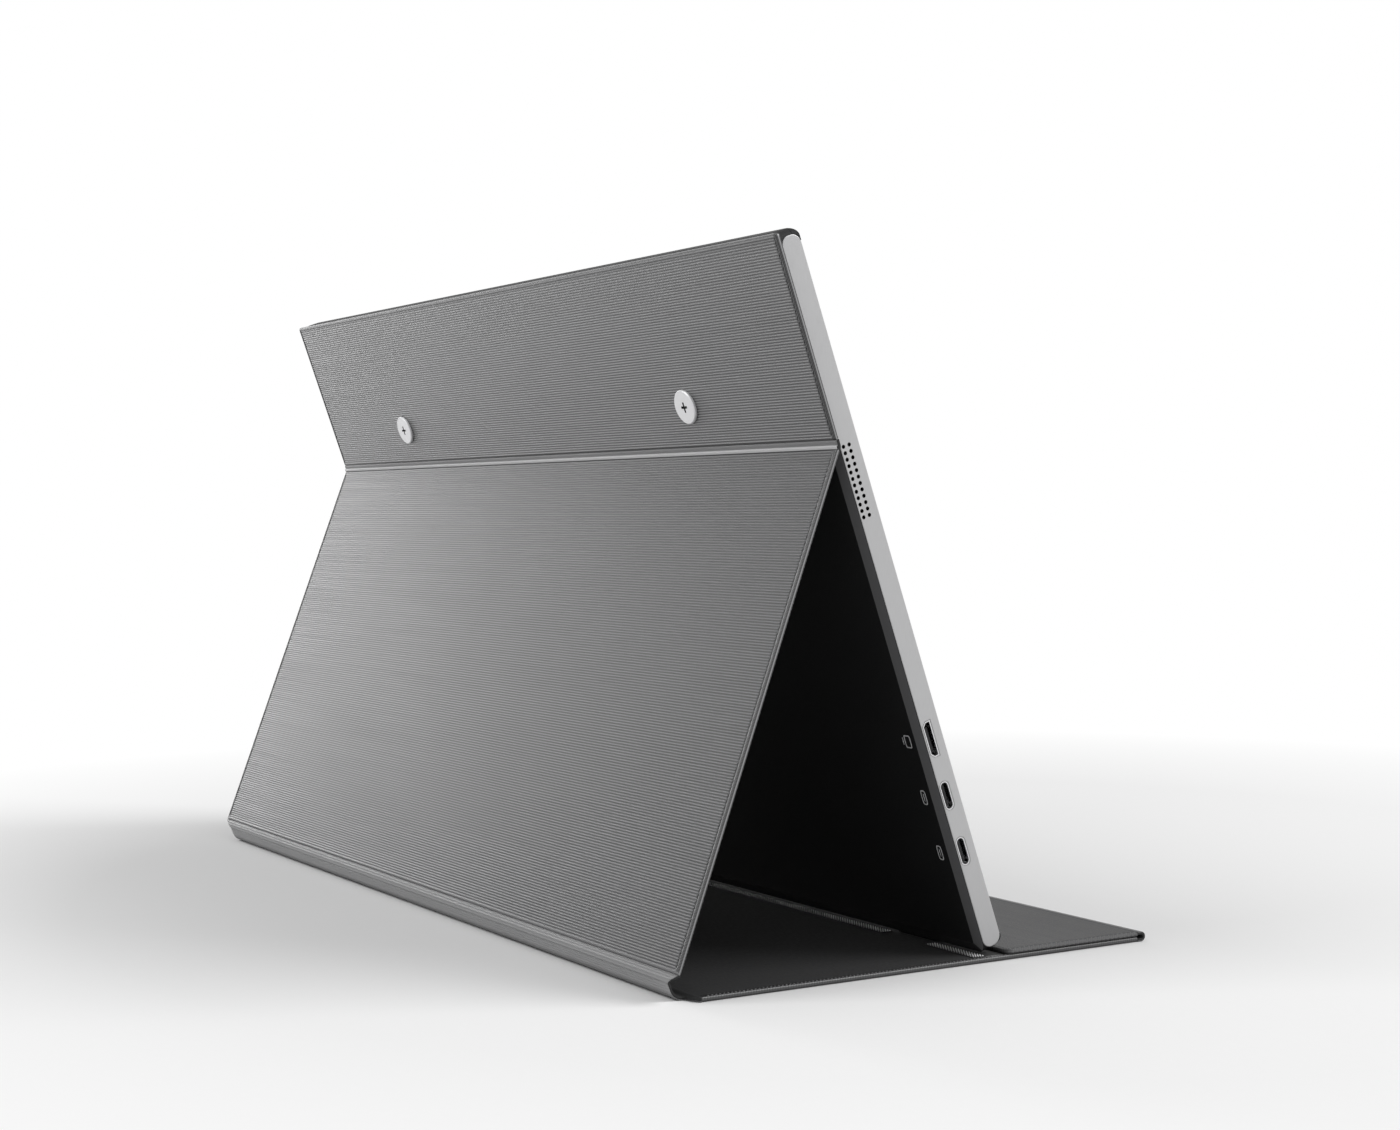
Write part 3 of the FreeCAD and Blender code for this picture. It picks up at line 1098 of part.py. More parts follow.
def base_panel():
    """Ground panel with its rear fold, grip strips and front roll."""
    rear = BASE_SEAM_Y - HEM_WEB
    layers = stiff_panel(rear - PANEL_FRONT_Y)
    foot_reach = FOOT_LENGTH / 2 + GRIP_FOOT_GAP
    end = HALF_COVER - GRIP_END_INSET
    spans = [
        (-end, -FOOT_X - foot_reach),
        (-FOOT_X + foot_reach, FOOT_X - foot_reach),
        (FOOT_X + foot_reach, end),
    ]
    grips = Part.makeCompound([grip_strip(x0, x1) for x0, x1 in spans])
    roll = bent_strip(ROLL_RADIUS - ROLL_THICKNESS, ROLL_RADIUS, math.pi / 2, 3 * math.pi / 2)
    tail_top = ROLL_THICKNESS - ROLL_RADIUS
    tail = box(-HALF_COVER, HALF_COVER, 0, PANEL_FRONT_Y - ROLL_Y, -ROLL_RADIUS, tail_top)
    return {
        "base_skin": place(layers[0], -90, PANEL_FRONT_Y, PANEL_THICKNESS),
        "base_board": place(layers[1], -90, PANEL_FRONT_Y, PANEL_THICKNESS),
        "base_lining": place(layers[2], -90, PANEL_FRONT_Y, PANEL_THICKNESS),
        "base_hem": place(hem_strip(), 90, BASE_SEAM_Y, BASE_SEAM_Z),
        "grip_strips": place(grips, 0, 0, 0),
        "front_roll": place(roll.fuse(tail).removeSplitter(), 0, ROLL_Y, ROLL_Z),
    }


def flap_panel():
    """Short front panel, folded back on the base with its skin upwards."""
    length = FLAP_REAR_Y - PANEL_FRONT_Y
    spots = [(side * MAGNET_X, FLAP_MAGNET_INSET) for side in (-1, 1)]
    layers = stiff_panel(length, pockets=spots)
    magnets = Part.makeCompound([magnet(x, along) for x, along in spots])
    seat_z = PANEL_THICKNESS + FLAP_GAP
    return {
        "flap_skin": place(layers[0], 90, FLAP_REAR_Y, seat_z),
        "flap_board": place(layers[1], 90, FLAP_REAR_Y, seat_z),
        "flap_lining": place(layers[2], 90, FLAP_REAR_Y, seat_z),
        "flap_magnets": place(magnets, 90, FLAP_REAR_Y, seat_z),
    }


def monitor_nodes():
    """Every piece of the slab, in the slab's own frame."""
    outline = slab_outline()
    nodes = {
        "rear_shell": rear_shell(outline),
        "front_bezel": front_bezel(outline),
        "port_rail": port_rail(),
        "button_rail": button_rail(),
        "video_socket": video_socket(),
        "upper_usb_socket": usb_socket(MIDDLE_PORT_UP),
        "lower_usb_socket": usb_socket(LOWER_PORT_UP),
        "socket_tongues": socket_tongues(),
        "headphone_jack": headphone_jack(),
        "power_button": power_button(),
        "menu_rocker": menu_rocker(),
        "rocker_bracket": rocker_bracket(),
        "tact_switches": tact_switches(),
        "driver_board": driver_board(),
        "display_ribbon": display_ribbon(),
        "main_board": main_board(),
        "key_board": key_board(),
        "board_screws": board_screws(),
        "rail_screws": rail_screws(),
        "key_ribbon": key_ribbon(),
        "speaker_flexes": speaker_flexes(),
        "left_speaker": speaker(-1),
        "right_speaker": speaker(1),
        "speaker_gaskets": speaker_gaskets(),
        "screw_inserts": screw_inserts(),
        "cover_screws": cover_screws(),
        "shell_magnets": shell_magnets(),
        "monitor_feet": monitor_feet(),
    }
    nodes.update(display_module())
    nodes.update(board_parts())
    nodes.update(upper_panel())
    return nodes


def build():
    """Every node of the part, set in the row."""
    nodes = {name: on_monitor(shape) for name, shape in monitor_nodes().items()}
    nodes.update({name: on_leg(shape) for name, shape in leg_panel().items()})
    nodes.update(spine())
    nodes.update(base_panel())
    nodes.update(flap_panel())
    return nodes


os.makedirs("parts", exist_ok=True)
for node_name, node_shape in build().items():
    node_shape.exportStep("parts/" + node_name + ".step")
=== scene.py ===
"""Slim slab monitor leaning on its folding cloth cover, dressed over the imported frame.

Lengths are metres in the frame's own axes: X across the slab, Y towards its back, Z up.
"""

from __future__ import annotations

import json
import logging
import math
from dataclasses import dataclass, field
from enum import Enum

import bpy
import numpy as np
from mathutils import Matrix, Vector

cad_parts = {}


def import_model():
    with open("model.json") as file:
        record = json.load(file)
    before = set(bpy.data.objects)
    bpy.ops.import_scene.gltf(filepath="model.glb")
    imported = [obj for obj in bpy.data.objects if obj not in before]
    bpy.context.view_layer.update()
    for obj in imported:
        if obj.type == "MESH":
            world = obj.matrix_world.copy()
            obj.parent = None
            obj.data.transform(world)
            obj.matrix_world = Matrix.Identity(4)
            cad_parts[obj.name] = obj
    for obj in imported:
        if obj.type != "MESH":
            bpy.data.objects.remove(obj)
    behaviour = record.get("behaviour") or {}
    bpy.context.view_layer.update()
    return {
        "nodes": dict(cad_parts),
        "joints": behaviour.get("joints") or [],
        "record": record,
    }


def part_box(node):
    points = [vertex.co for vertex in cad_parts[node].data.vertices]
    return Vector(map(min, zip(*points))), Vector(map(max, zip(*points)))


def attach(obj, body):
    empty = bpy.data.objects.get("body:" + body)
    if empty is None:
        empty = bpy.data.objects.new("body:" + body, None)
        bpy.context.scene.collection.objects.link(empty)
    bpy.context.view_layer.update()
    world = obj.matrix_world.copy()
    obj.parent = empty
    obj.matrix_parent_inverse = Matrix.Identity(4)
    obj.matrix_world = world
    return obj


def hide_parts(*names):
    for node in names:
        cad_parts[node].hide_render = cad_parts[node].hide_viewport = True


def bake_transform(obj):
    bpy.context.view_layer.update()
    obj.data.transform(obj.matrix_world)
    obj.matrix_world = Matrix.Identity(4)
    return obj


LOG = logging.getLogger("folding_monitor")
MM = 0.001
ACROSS = np.array((1.0, 0.0, 0.0))
BACK = np.array((0.0, 1.0, 0.0))
UP = np.array((0.0, 0.0, 1.0))
WHITE = (1.0, 1.0, 1.0, 1.0)

Colour = tuple[float, float, float]
Pair = tuple[float, float]
Steps = tuple[float, ...]
Socket = bpy.types.NodeSocket


class PanelEdge(Enum):
    """The two long edges of a cover panel."""

    LOW = "low"
    HIGH = "high"


class Grain(Enum):
    """Direction in which a finish's fine marks are drawn out."""

    EVEN = (1.0, 1.0, 1.0)
    ALONG_X = (0.06, 1.0, 1.0)
    UP_THE_RAIL = (1.0, 1.0, 0.05)


class Coords(Enum):
    """Where a pattern is read: in the object's own metres, or on the piece's own map."""

    OBJECT = "Object"
    PLACES = "UV"


class Wave(Enum):
    """Where a repeated line starts: at its middle height, or on a crest."""

    FROM_MIDDLE = "SINE"
    FROM_CREST = "COSINE"


def ease(value: np.ndarray, low: float, high: float) -> np.ndarray:
    """Smooth step: 0 below low, 1 above high, and 3t^2 - 2t^3 between them.

    Args:
        value: numbers to ease.
        low: where the step starts.
        high: where the step ends.

    Returns:
        The eased numbers, from 0 to 1.
    """
    t = np.clip((value - low) / (high - low), 0.0, 1.0)
    return t * t * (3.0 - 2.0 * t)


def hump(value: np.ndarray, middle: float, width: float) -> np.ndarray:
    """Bell e^-((value - middle) / width)^2, which is 1 at the middle."""
    return np.exp(-(((value - middle) / width) ** 2))


def quarter_round(distance: np.ndarray, radius: float) -> np.ndarray:
    """Quarter circle sqrt(1 - (1 - d/r)^2): 0 on the edge, 1 from one radius inwards."""
    t = 1.0 - np.clip(distance / radius, 0.0, 1.0)
    return np.sqrt(1.0 - t * t)


def rounded_rim(distances: tuple[np.ndarray, ...], radius: float) -> np.ndarray:
    """Product of the quarter circles over the distances to a plate's edges."""
    return np.prod([quarter_round(distance, radius) for distance in distances], axis=0)


def round_angles(count: int) -> np.ndarray:
    """Evenly spaced angles of a whole turn, the first at 0."""
    return np.linspace(0.0, 2.0 * math.pi, count + 1)[:-1]


def midway(values: np.ndarray) -> float:
    """Half way between the lowest and the highest value."""
    return float(values.min() + values.max()) / 2.0


def run_length(line: np.ndarray) -> np.ndarray:
    """Distance along a line of places, from 0 at its start."""
    steps = np.linalg.norm(np.diff(line, axis=0), axis=1)
    return np.concatenate([[0.0], np.cumsum(steps)])


def sheet_quads(index: np.ndarray, flip: bool = False) -> np.ndarray:
    """Quads between neighbours of a grid of vertex numbers.

    Args:
        index: vertex numbers, rows by columns.
        flip: whether the faces turn the other way.

    Returns:
        One row of four vertex numbers for each cell.
    """
    corners = [index[:-1, :-1], index[:-1, 1:], index[1:, 1:], index[1:, :-1]]
    if flip:
        corners.reverse()
    return np.stack([corner.ravel() for corner in corners], axis=1)


def closed(index: np.ndarray) -> np.ndarray:
    """The grid with its first column repeated at the end, so that its rows close."""
    return np.concatenate([index, index[:, :1]], axis=1)


@dataclass
class Surface:
    """One closed surface: points, quads, map places in metres and named point values."""

    points: np.ndarray
    quads: np.ndarray
    places: np.ndarray
    values: dict[str, np.ndarray] = field(default_factory=dict)

    @staticmethod
    def joined(parts: list[Surface]) -> Surface:
        """Several surfaces as one, with vertex numbers moved on past the earlier ones.

        Args:
            parts: surfaces with the same named values.

        Returns:
            The joined surface.
        """
        counts = np.cumsum([0] + [len(part.points) for part in parts[:-1]])
        return Surface(
            np.concatenate([part.points for part in parts]),
            np.concatenate([part.quads + start for part, start in zip(parts, counts)]),
            np.concatenate([part.places for part in parts]),
            {key: np.concatenate([part.values[key] for part in parts]) for key in parts[0].values},
        )

    def to_object(self, name: str, finish: Finish) -> bpy.types.Object:
        """Puts the surface into a smooth-shaded mesh object at the origin.

        Args:
            name: the piece's name.
            finish: what its surface looks like.

        Returns:
            The new object, linked to the scene.
        """
        mesh = bpy.data.meshes.new(name)
        mesh.from_pydata(self.points.tolist(), [], self.quads.tolist())
        mesh.polygons.foreach_set("use_smooth", np.ones(len(self.quads), dtype=bool))
        layer = mesh.uv_layers.new(name="places")
        layer.data.foreach_set("uv", self.places[self.quads.ravel()].astype(np.float32).ravel())
        for key, numbers in self.values.items():
            attribute = mesh.attributes.new(key, "FLOAT", "POINT")
            attribute.data.foreach_set("value", numbers.astype(np.float32))
        mesh.update()
        mesh.materials.append(finish.material())
        piece = bpy.data.objects.new(name, mesh)
        bpy.context.scene.collection.objects.link(piece)
        LOG.info("%s: %d quads, %s", name, len(self.quads), finish.name)
        return piece


class Desk:
    """Short calls that lay out one material's nodes."""

    def __init__(self, name: str) -> None:
        """Starts an empty material with an output node.

        Args:
            name: the material's name.
        """
        self.material = bpy.data.materials.new(name)
        self.material.use_nodes = True
        self.tree = self.material.node_tree
        self.tree.nodes.clear()
        self.output = self.tree.nodes.new("ShaderNodeOutputMaterial")

    def node(self, kind: str, sockets: dict | None = None, **settings: object) -> bpy.types.Node:
        """Adds a node.

        Args:
            kind: node type without its ShaderNode prefix.
            sockets: input name or number, to a value or a socket to link.
            settings: the node's own properties.

        Returns:
            The new node.
        """
        made = self.tree.nodes.new("ShaderNode" + kind)
        for key, value in settings.items():
            setattr(made, key, value)
        for key, value in (sockets or {}).items():
            if isinstance(value, Socket):
                self.tree.links.new(value, made.inputs[key])
            else:
                made.inputs[key].default_value = value
        return made

    def coords(self, kind: Coords) -> Socket:
        """Pattern coordinates of the given kind."""
        return self.node("TexCoord").outputs[kind.value]

    def value_of(self, name: str) -> Socket:
        """A named value that the mesh holds at its points."""
        return self.node("Attribute", attribute_name=name).outputs["Fac"]

    def scaled(self, vector: Socket, scale: Steps) -> Socket:
        """Coordinates multiplied axis by axis."""
        return self.node("Mapping", {"Vector": vector, "Scale": scale}).outputs[0]

    def noise(self, vector: Socket, scale: float, detail: float = 2.0) -> Socket:
        """Soft noise from 0 to 1, with a pattern size of one over scale."""
        made = self.node("TexNoise", {"Vector": vector, "Scale": scale, "Detail": detail})
        return made.outputs[0]

    def maths(self, operation: str, first: object, second: object = 0.0) -> Socket:
        """One sum, product or other plain operation."""
        return self.node("Math", {0: first, 1: second}, operation=operation).outputs[0]

    def wave(self, value: Socket, pitch: float, kind: Wave = Wave.FROM_MIDDLE) -> Socket:
        """Wave from -1 to 1 along a value in metres, with one turn for each pitch."""
        return self.maths(kind.value, self.maths("MULTIPLY", value, 2.0 * math.pi / pitch))

    def diagonal(self, vector: Socket) -> Socket:
        """Sum of a vector's first two axes, for slanted lines."""
        axes = self.node("SeparateXYZ", {0: vector}).outputs
        return self.maths("ADD", axes["X"], axes["Y"])

    def spread(self, value: Socket, low: float, high: float,
               start: float = 0.3, end: float = 0.7) -> Socket:
        """A value from start to end, spread over low to high.

        Args:
            value: the value, such as noise.
            low: result at start and below.
            high: result at end and above.
            start: value that gives low.
            end: value that gives high.

        Returns:
            The spread value's socket.
        """
        sockets = {"Value": value, "From Min": start, "From Max": end, "To Min": low, "To Max": high}
        return self.node("MapRange", sockets).outputs[0]

    def mix(self, share: object, first: object, second: object) -> Socket:
        """Colour between two, by a share from 0 to 1."""
        made = self.node("Mix", {0: share, 6: first, 7: second}, data_type="RGBA")
        return made.outputs[2]

    def bump(self, height: Socket, depth: float) -> Socket:
        """Surface normal shaped by a height from 0 to 1 over a depth in metres."""
        return self.node("Bump", {"Height": height, "Distance": depth}).outputs[0]

    def shade(self, sockets: dict) -> bpy.types.Material:
        """Ends the material with one principled shader.

        Args:
            sockets: the shader's input names, to values or sockets.

        Returns:
            The finished material.
        """
        shader = self.node("BsdfPrincipled", sockets)
        self.tree.links.new(shader.outputs[0], self.output.inputs["Surface"])
        return self.material


def tint(colour: Colour, factor: float = 1.0) -> tuple[float, float, float, float]:
    """A colour, made lighter or darker, as red, green, blue and full cover."""
    return (colour[0] * factor, colour[1] * factor, colour[2] * factor, 1.0)


@dataclass(frozen=True)
class Finish:
    """A named surface finish; its material is made once and then shared."""

    name: str
    colour: Colour
    # mark names the mesh value where painted light or shade is laid on, in the colour below it
    mark: str = ""
    painted_light_colour: Colour = (0.0, 0.0, 0.0)

    def material(self) -> bpy.types.Material:
        """The finish's material, made at its first use under a name of its own."""
        label = self.name + "_finish"
        return bpy.data.materials.get(label) or self.build(Desk(label))

    def with_painted_light(self, desk: Desk, colour: Socket) -> Socket:
        """The colour, changed to the painted light or shade colour where the mesh holds the mark's
        value.

        Args:
            desk: where the nodes go.
            colour: the finish's own colour.

        Returns:
            The colour with its painted light or shade.
        """
        if not self.mark:
            return colour
        return desk.mix(desk.value_of(self.mark), colour, tint(self.painted_light_colour))

    def toned(self, desk: Desk, tone: Socket, contrast: float) -> Socket:
        """The colour, from darker to lighter by the contrast as the tone goes from 0 to 1."""
        return desk.mix(tone, tint(self.colour, 1.0 - contrast), tint(self.colour, 1.0 + contrast))

    def build(self, desk: Desk) -> bpy.types.Material:
        """Lays out the finish's nodes; each kind of finish has its own."""
        raise NotImplementedError


@dataclass(frozen=True)
class RibbedCloth(Finish):
    """Coated cloth with fine cross ribs, darker borders and dark seam lines; the rib valleys are painted
    darker and the crests lighter, as painted shade and highlight.

    Streaks and threads are counted along the ribs for each metre, and across for each rib.
    """

    pitch: float = 0.85 * MM
    contrast: float = 0.6
    border: Colour = (0.07, 0.07, 0.071)
    seam: Colour = (0.016, 0.016, 0.017)
    # colour of the painted highlight along the panels' edges
    lip_highlight: Colour = (0.3, 0.3, 0.305)
    rough: Pair = (0.38, 0.46)
    metallic: float = 0.65
    specular: float = 0.5
    streaks: Pair = (9.0, 0.8)
    threads: Pair = (1500.0, 2.5)
    # share of the tone that is painted rib shade and highlight
    rib_shade_share: float = 0.76
    fine_share: float = 0.12
    cloud_scale: float = 14.0
    cloud_share: float = 0.12
    cloud_gain: float = 1.3
    dash_pitch: float = 0.9 * MM
    dash_contrast: float = 0.25
    thread_depth: float = 0.03 * MM

    def drawn_out(self, desk: Desk, counts: Pair, detail: float) -> Socket:
        """Noise on the piece's own map, with the given counts along and across the ribs."""
        scale = (counts[0], counts[1] / self.pitch, 1.0)
        return desk.noise(desk.scaled(desk.coords(Coords.PLACES), scale), 1.0, detail)

    def edging(self, desk: Desk) -> Socket:
        """Border colour with fine slanted dashes.

        Args:
            desk: where the nodes go.

        Returns:
            The border's colour.
        """
        dash = desk.wave(desk.diagonal(desk.coords(Coords.PLACES)), self.dash_pitch)
        dark, light = (tint(self.border, 1.0 + sign * self.dash_contrast) for sign in (-1.0, 1.0))
        return desk.mix(desk.spread(dash, 0.0, 1.0, -1.0, 1.0), dark, light)

    def build(self, desk: Desk) -> bpy.types.Material:
        """Rib tone from the map's second axis, as painted shade in the valleys and painted highlight on
        the crests, long streaks, a fine weave and edge tones.

        Args:
            desk: where the nodes go.

        Returns:
            The finished material.
        """
        along = desk.node("SeparateXYZ", {0: desk.coords(Coords.PLACES)}).outputs["Y"]
        # painted shade and highlight: the colour darkens in the rib valleys and lightens on the crests,
        # in step with the ribs' shape
        crest = desk.spread(desk.wave(along, self.pitch, Wave.FROM_CREST), 0.0, 1.0, -1.0, 1.0)
        streak = self.drawn_out(desk, self.streaks, detail=3.0)
        weave = self.drawn_out(desk, self.threads, detail=1.0)
        cloud = desk.noise(desk.coords(Coords.OBJECT), self.cloud_scale)
        tone = desk.maths("MULTIPLY", crest, self.rib_shade_share)
        tone = desk.maths("ADD", tone, desk.spread(streak, 0.0, self.fine_share))
        tone = desk.maths("ADD", tone, desk.spread(weave, 0.0, self.fine_share))
        colour = self.toned(desk, tone, self.contrast)
        colour = desk.mix(desk.spread(cloud, 0.0, self.cloud_share), colour,
                          tint(self.colour, self.cloud_gain))
        colour = desk.mix(desk.value_of("border"), colour, self.edging(desk))
        colour = desk.mix(desk.value_of("lip_highlight"), colour, tint(self.lip_highlight))
        colour = desk.mix(desk.value_of("seam"), colour, tint(self.seam))
        return desk.shade({
            "Base Color": colour,
            "Metallic": self.metallic,
            "Roughness": desk.spread(streak, *self.rough),
            "Specular IOR Level": self.specular,
            "Normal": desk.bump(weave, self.thread_depth),
        })


@dataclass(frozen=True)
class SmoothCloth(Finish):
    """Coated cloth without ribs, as on folds, or brushed cloth, as on linings."""

    thread: float = 0.45 * MM
    contrast: float = 0.25
    rough: Pair = (0.45, 0.6)
    nap: float = 0.02 * MM
    specular: float = 0.4
    flecks: Steps = (400.0, 1800.0, 1.0)
    cloud_scale: float = 22.0
    line_share: float = 0.4
    fleck_share: float = 0.35
    cloud_share: float = 0.25

    def build(self, desk: Desk) -> bpy.types.Material:
        """Slanted thread lines broken by noise, over soft clouds of tone.

        Args:
            desk: where the nodes go.

        Returns:
            The finished material.
        """
        places = desk.coords(Coords.PLACES)
        line = desk.wave(desk.diagonal(places), self.thread)
        fleck = desk.noise(desk.scaled(places, self.flecks), 1.0)
        cloud = desk.noise(desk.coords(Coords.OBJECT), self.cloud_scale, detail=3.0)
        tone = desk.spread(line, 0.0, self.line_share, -1.0, 1.0)
        tone = desk.maths("ADD", tone, desk.spread(fleck, 0.0, self.fleck_share))
        tone = desk.maths("ADD", tone, desk.spread(cloud, 0.0, self.cloud_share))
        return desk.shade({
            "Base Color": self.with_painted_light(desk, self.toned(desk, tone, self.contrast)),
            "Roughness": desk.spread(fleck, *self.rough),
            "Specular IOR Level": self.specular,
            "Normal": desk.bump(tone, self.nap),
        })


@dataclass(frozen=True)
class Grained(Finish):
    """A solid material with a fine grain and soft clouds of tone."""

    grain: Grain = Grain.EVEN
    grain_scale: float = 5000.0
    grain_detail: float = 2.0
    grain_share: float = 0.6
    cloud_scale: float = 30.0
    metallic: float = 0.0
    specular: float = 0.5
    rough: Pair = (0.28, 0.4)
    contrast: float = 0.08
    depth: float = 0.004 * MM

    def build(self, desk: Desk) -> bpy.types.Material:
        """Grain noise, drawn out along one axis or even, sets tone, roughness and a shallow bump.

        Args:
            desk: where the nodes go.

        Returns:
            The finished material.
        """
        coords = desk.coords(Coords.OBJECT)
        grain = desk.noise(desk.scaled(coords, self.grain.value), self.grain_scale, self.grain_detail)
        cloud = desk.noise(coords, self.cloud_scale)
        tone = desk.maths("ADD", desk.spread(grain, 0.0, self.grain_share),
                          desk.spread(cloud, 0.0, 1.0 - self.grain_share))
        return desk.shade({
            "Base Color": self.with_painted_light(desk, self.toned(desk, tone, self.contrast)),
            "Metallic": self.metallic,
            "Roughness": desk.spread(grain, *self.rough),
            "Specular IOR Level": self.specular,
            "Normal": desk.bump(grain, self.depth),
        })


@dataclass(frozen=True)
class SatinMetal(Grained):
    """Metal or metal paint with a fine drawn or blasted grain."""

    metallic: float = 1.0


@dataclass(frozen=True)
class MouldedPlastic(Grained):
    """Moulded plastic with a spark-eroded grain."""

    grain_scale: float = 3500.0
    grain_detail: float = 3.0
    grain_share: float = 0.5
    cloud_scale: float = 45.0
    specular: float = 0.4
    rough: Pair = (0.42, 0.6)
    contrast: float = 0.2
    depth: float = 0.015 * MM


@dataclass(frozen=True)
class CoatedGlass(Finish):
    """Dark display glass with a faint anti-glare sparkle."""

    rough: Pair = (0.16, 0.24)
    contrast: float = 0.3
    sparkle_scale: float = 9000.0
    drift_scale: float = 6.0
    bending: float = 1.5
    coat: float = 0.3
    coat_rough: float = 0.12

    def build(self, desk: Desk) -> bpy.types.Material:
        """Very fine sparkle in the roughness, and a slow drift of tone.

        Args:
            desk: where the nodes go.

        Returns:
            The finished material.
        """
        coords = desk.coords(Coords.OBJECT)
        sparkle = desk.noise(coords, self.sparkle_scale, detail=1.0)
        drift = desk.spread(desk.noise(coords, self.drift_scale), 0.0, 1.0)
        return desk.shade({
            "Base Color": self.toned(desk, drift, self.contrast),
            "Roughness": desk.spread(sparkle, *self.rough),
            "IOR": self.bending,
            "Coat Weight": self.coat,
            "Coat Roughness": self.coat_rough,
        })


@dataclass(frozen=True)
class PrintedSheet(Finish):
    """Board, film or cable with printed lines in a second tone."""

    line_colour: Colour = (0.4, 0.3, 0.1)
    line_pitch: float = 1.2 * MM
    line_edge: Pair = (0.5, 0.7)
    line_share: float = 0.6
    line_depth: float = 0.02 * MM
    patch_scale: float = 160.0
    rough: Pair = (0.3, 0.45)

    def build(self, desk: Desk) -> bpy.types.Material:
        """Parallel lines across X, broken by blocky noise.

        Args:
            desk: where the nodes go.

        Returns:
            The finished material.
        """
        coords = desk.coords(Coords.OBJECT)
        across = desk.node("SeparateXYZ", {0: coords}).outputs["X"]
        wave = desk.wave(across, self.line_pitch)
        patch = desk.noise(coords, self.patch_scale, detail=1.0)
        line = desk.maths("MULTIPLY", desk.spread(wave, 0.0, 1.0, *self.line_edge),
                          desk.spread(patch, 0.0, self.line_share))
        return desk.shade({
            "Base Color": desk.mix(line, tint(self.colour), tint(self.line_colour)),
            "Roughness": desk.spread(patch, *self.rough),
            "Normal": desk.bump(line, self.line_depth),
        })


COVER_CLOTH = RibbedCloth("cover_cloth", (0.1, 0.1, 0.102))
# painted light: the upper panel's cloth is the cover cloth made lighter and more metallic, because that
# panel faces down and gets less light
UPPER_CLOTH_PAINTED_LIGHTER = RibbedCloth("upper_cloth_painted_lighter", (0.165, 0.165, 0.167), metallic=0.85)
# painted shade: the flap's cloth is the cover cloth made darker and matte, standing in for the slab's
# shade on the flap
FLAP_CLOTH_PAINTED_DARKER = RibbedCloth("flap_cloth", (0.055, 0.055, 0.056), metallic=0.0, specular=0.25)
# painted highlight: where the mesh holds crest, the fold cloth is painted lighter, on the crease bead
# and the spine's upper part
FOLD_CLOTH = SmoothCloth("fold_cloth", (0.135, 0.135, 0.137), mark="crest",
                         painted_light_colour=(0.48, 0.48, 0.485), rough=(0.45, 0.58))
COVER_EDGE = SmoothCloth("cover_edge", (0.07, 0.07, 0.072), contrast=0.3, rough=(0.4, 0.55))
LINING_CLOTH = SmoothCloth("lining_cloth", (0.021, 0.021, 0.0215), thread=0.35 * MM, rough=(0.7, 0.9))
THREAD = SmoothCloth("sewing_thread", (0.1, 0.1, 0.102), thread=0.25 * MM)
EDGE_THREAD = SmoothCloth("edge_thread", (0.12, 0.12, 0.122), thread=0.25 * MM)
# painted shade: the mark darkens the strip's plate and the ribs' back ends, under the slab's lower edge
GRIP_RUBBER = MouldedPlastic("grip_rubber", (0.8, 0.8, 0.805), mark="painted_shade",
                             painted_light_colour=(0.012, 0.012, 0.012), rough=(0.5, 0.7))
MARK_INK = MouldedPlastic("mark_ink", (0.55, 0.55, 0.56), contrast=0.08, depth=0.002 * MM)

# painted light: the rim mark colours the shell's back chamfer lighter, as the chamfer catches more light
# than the back
BLACK_MOULDING = MouldedPlastic("black_moulding", (0.008, 0.008, 0.0085), mark="rim",
                                painted_light_colour=(0.11, 0.11, 0.113), rough=(0.52, 0.68), specular=0.25)
DARK_TRIM = MouldedPlastic("dark_trim", (0.015, 0.015, 0.016))
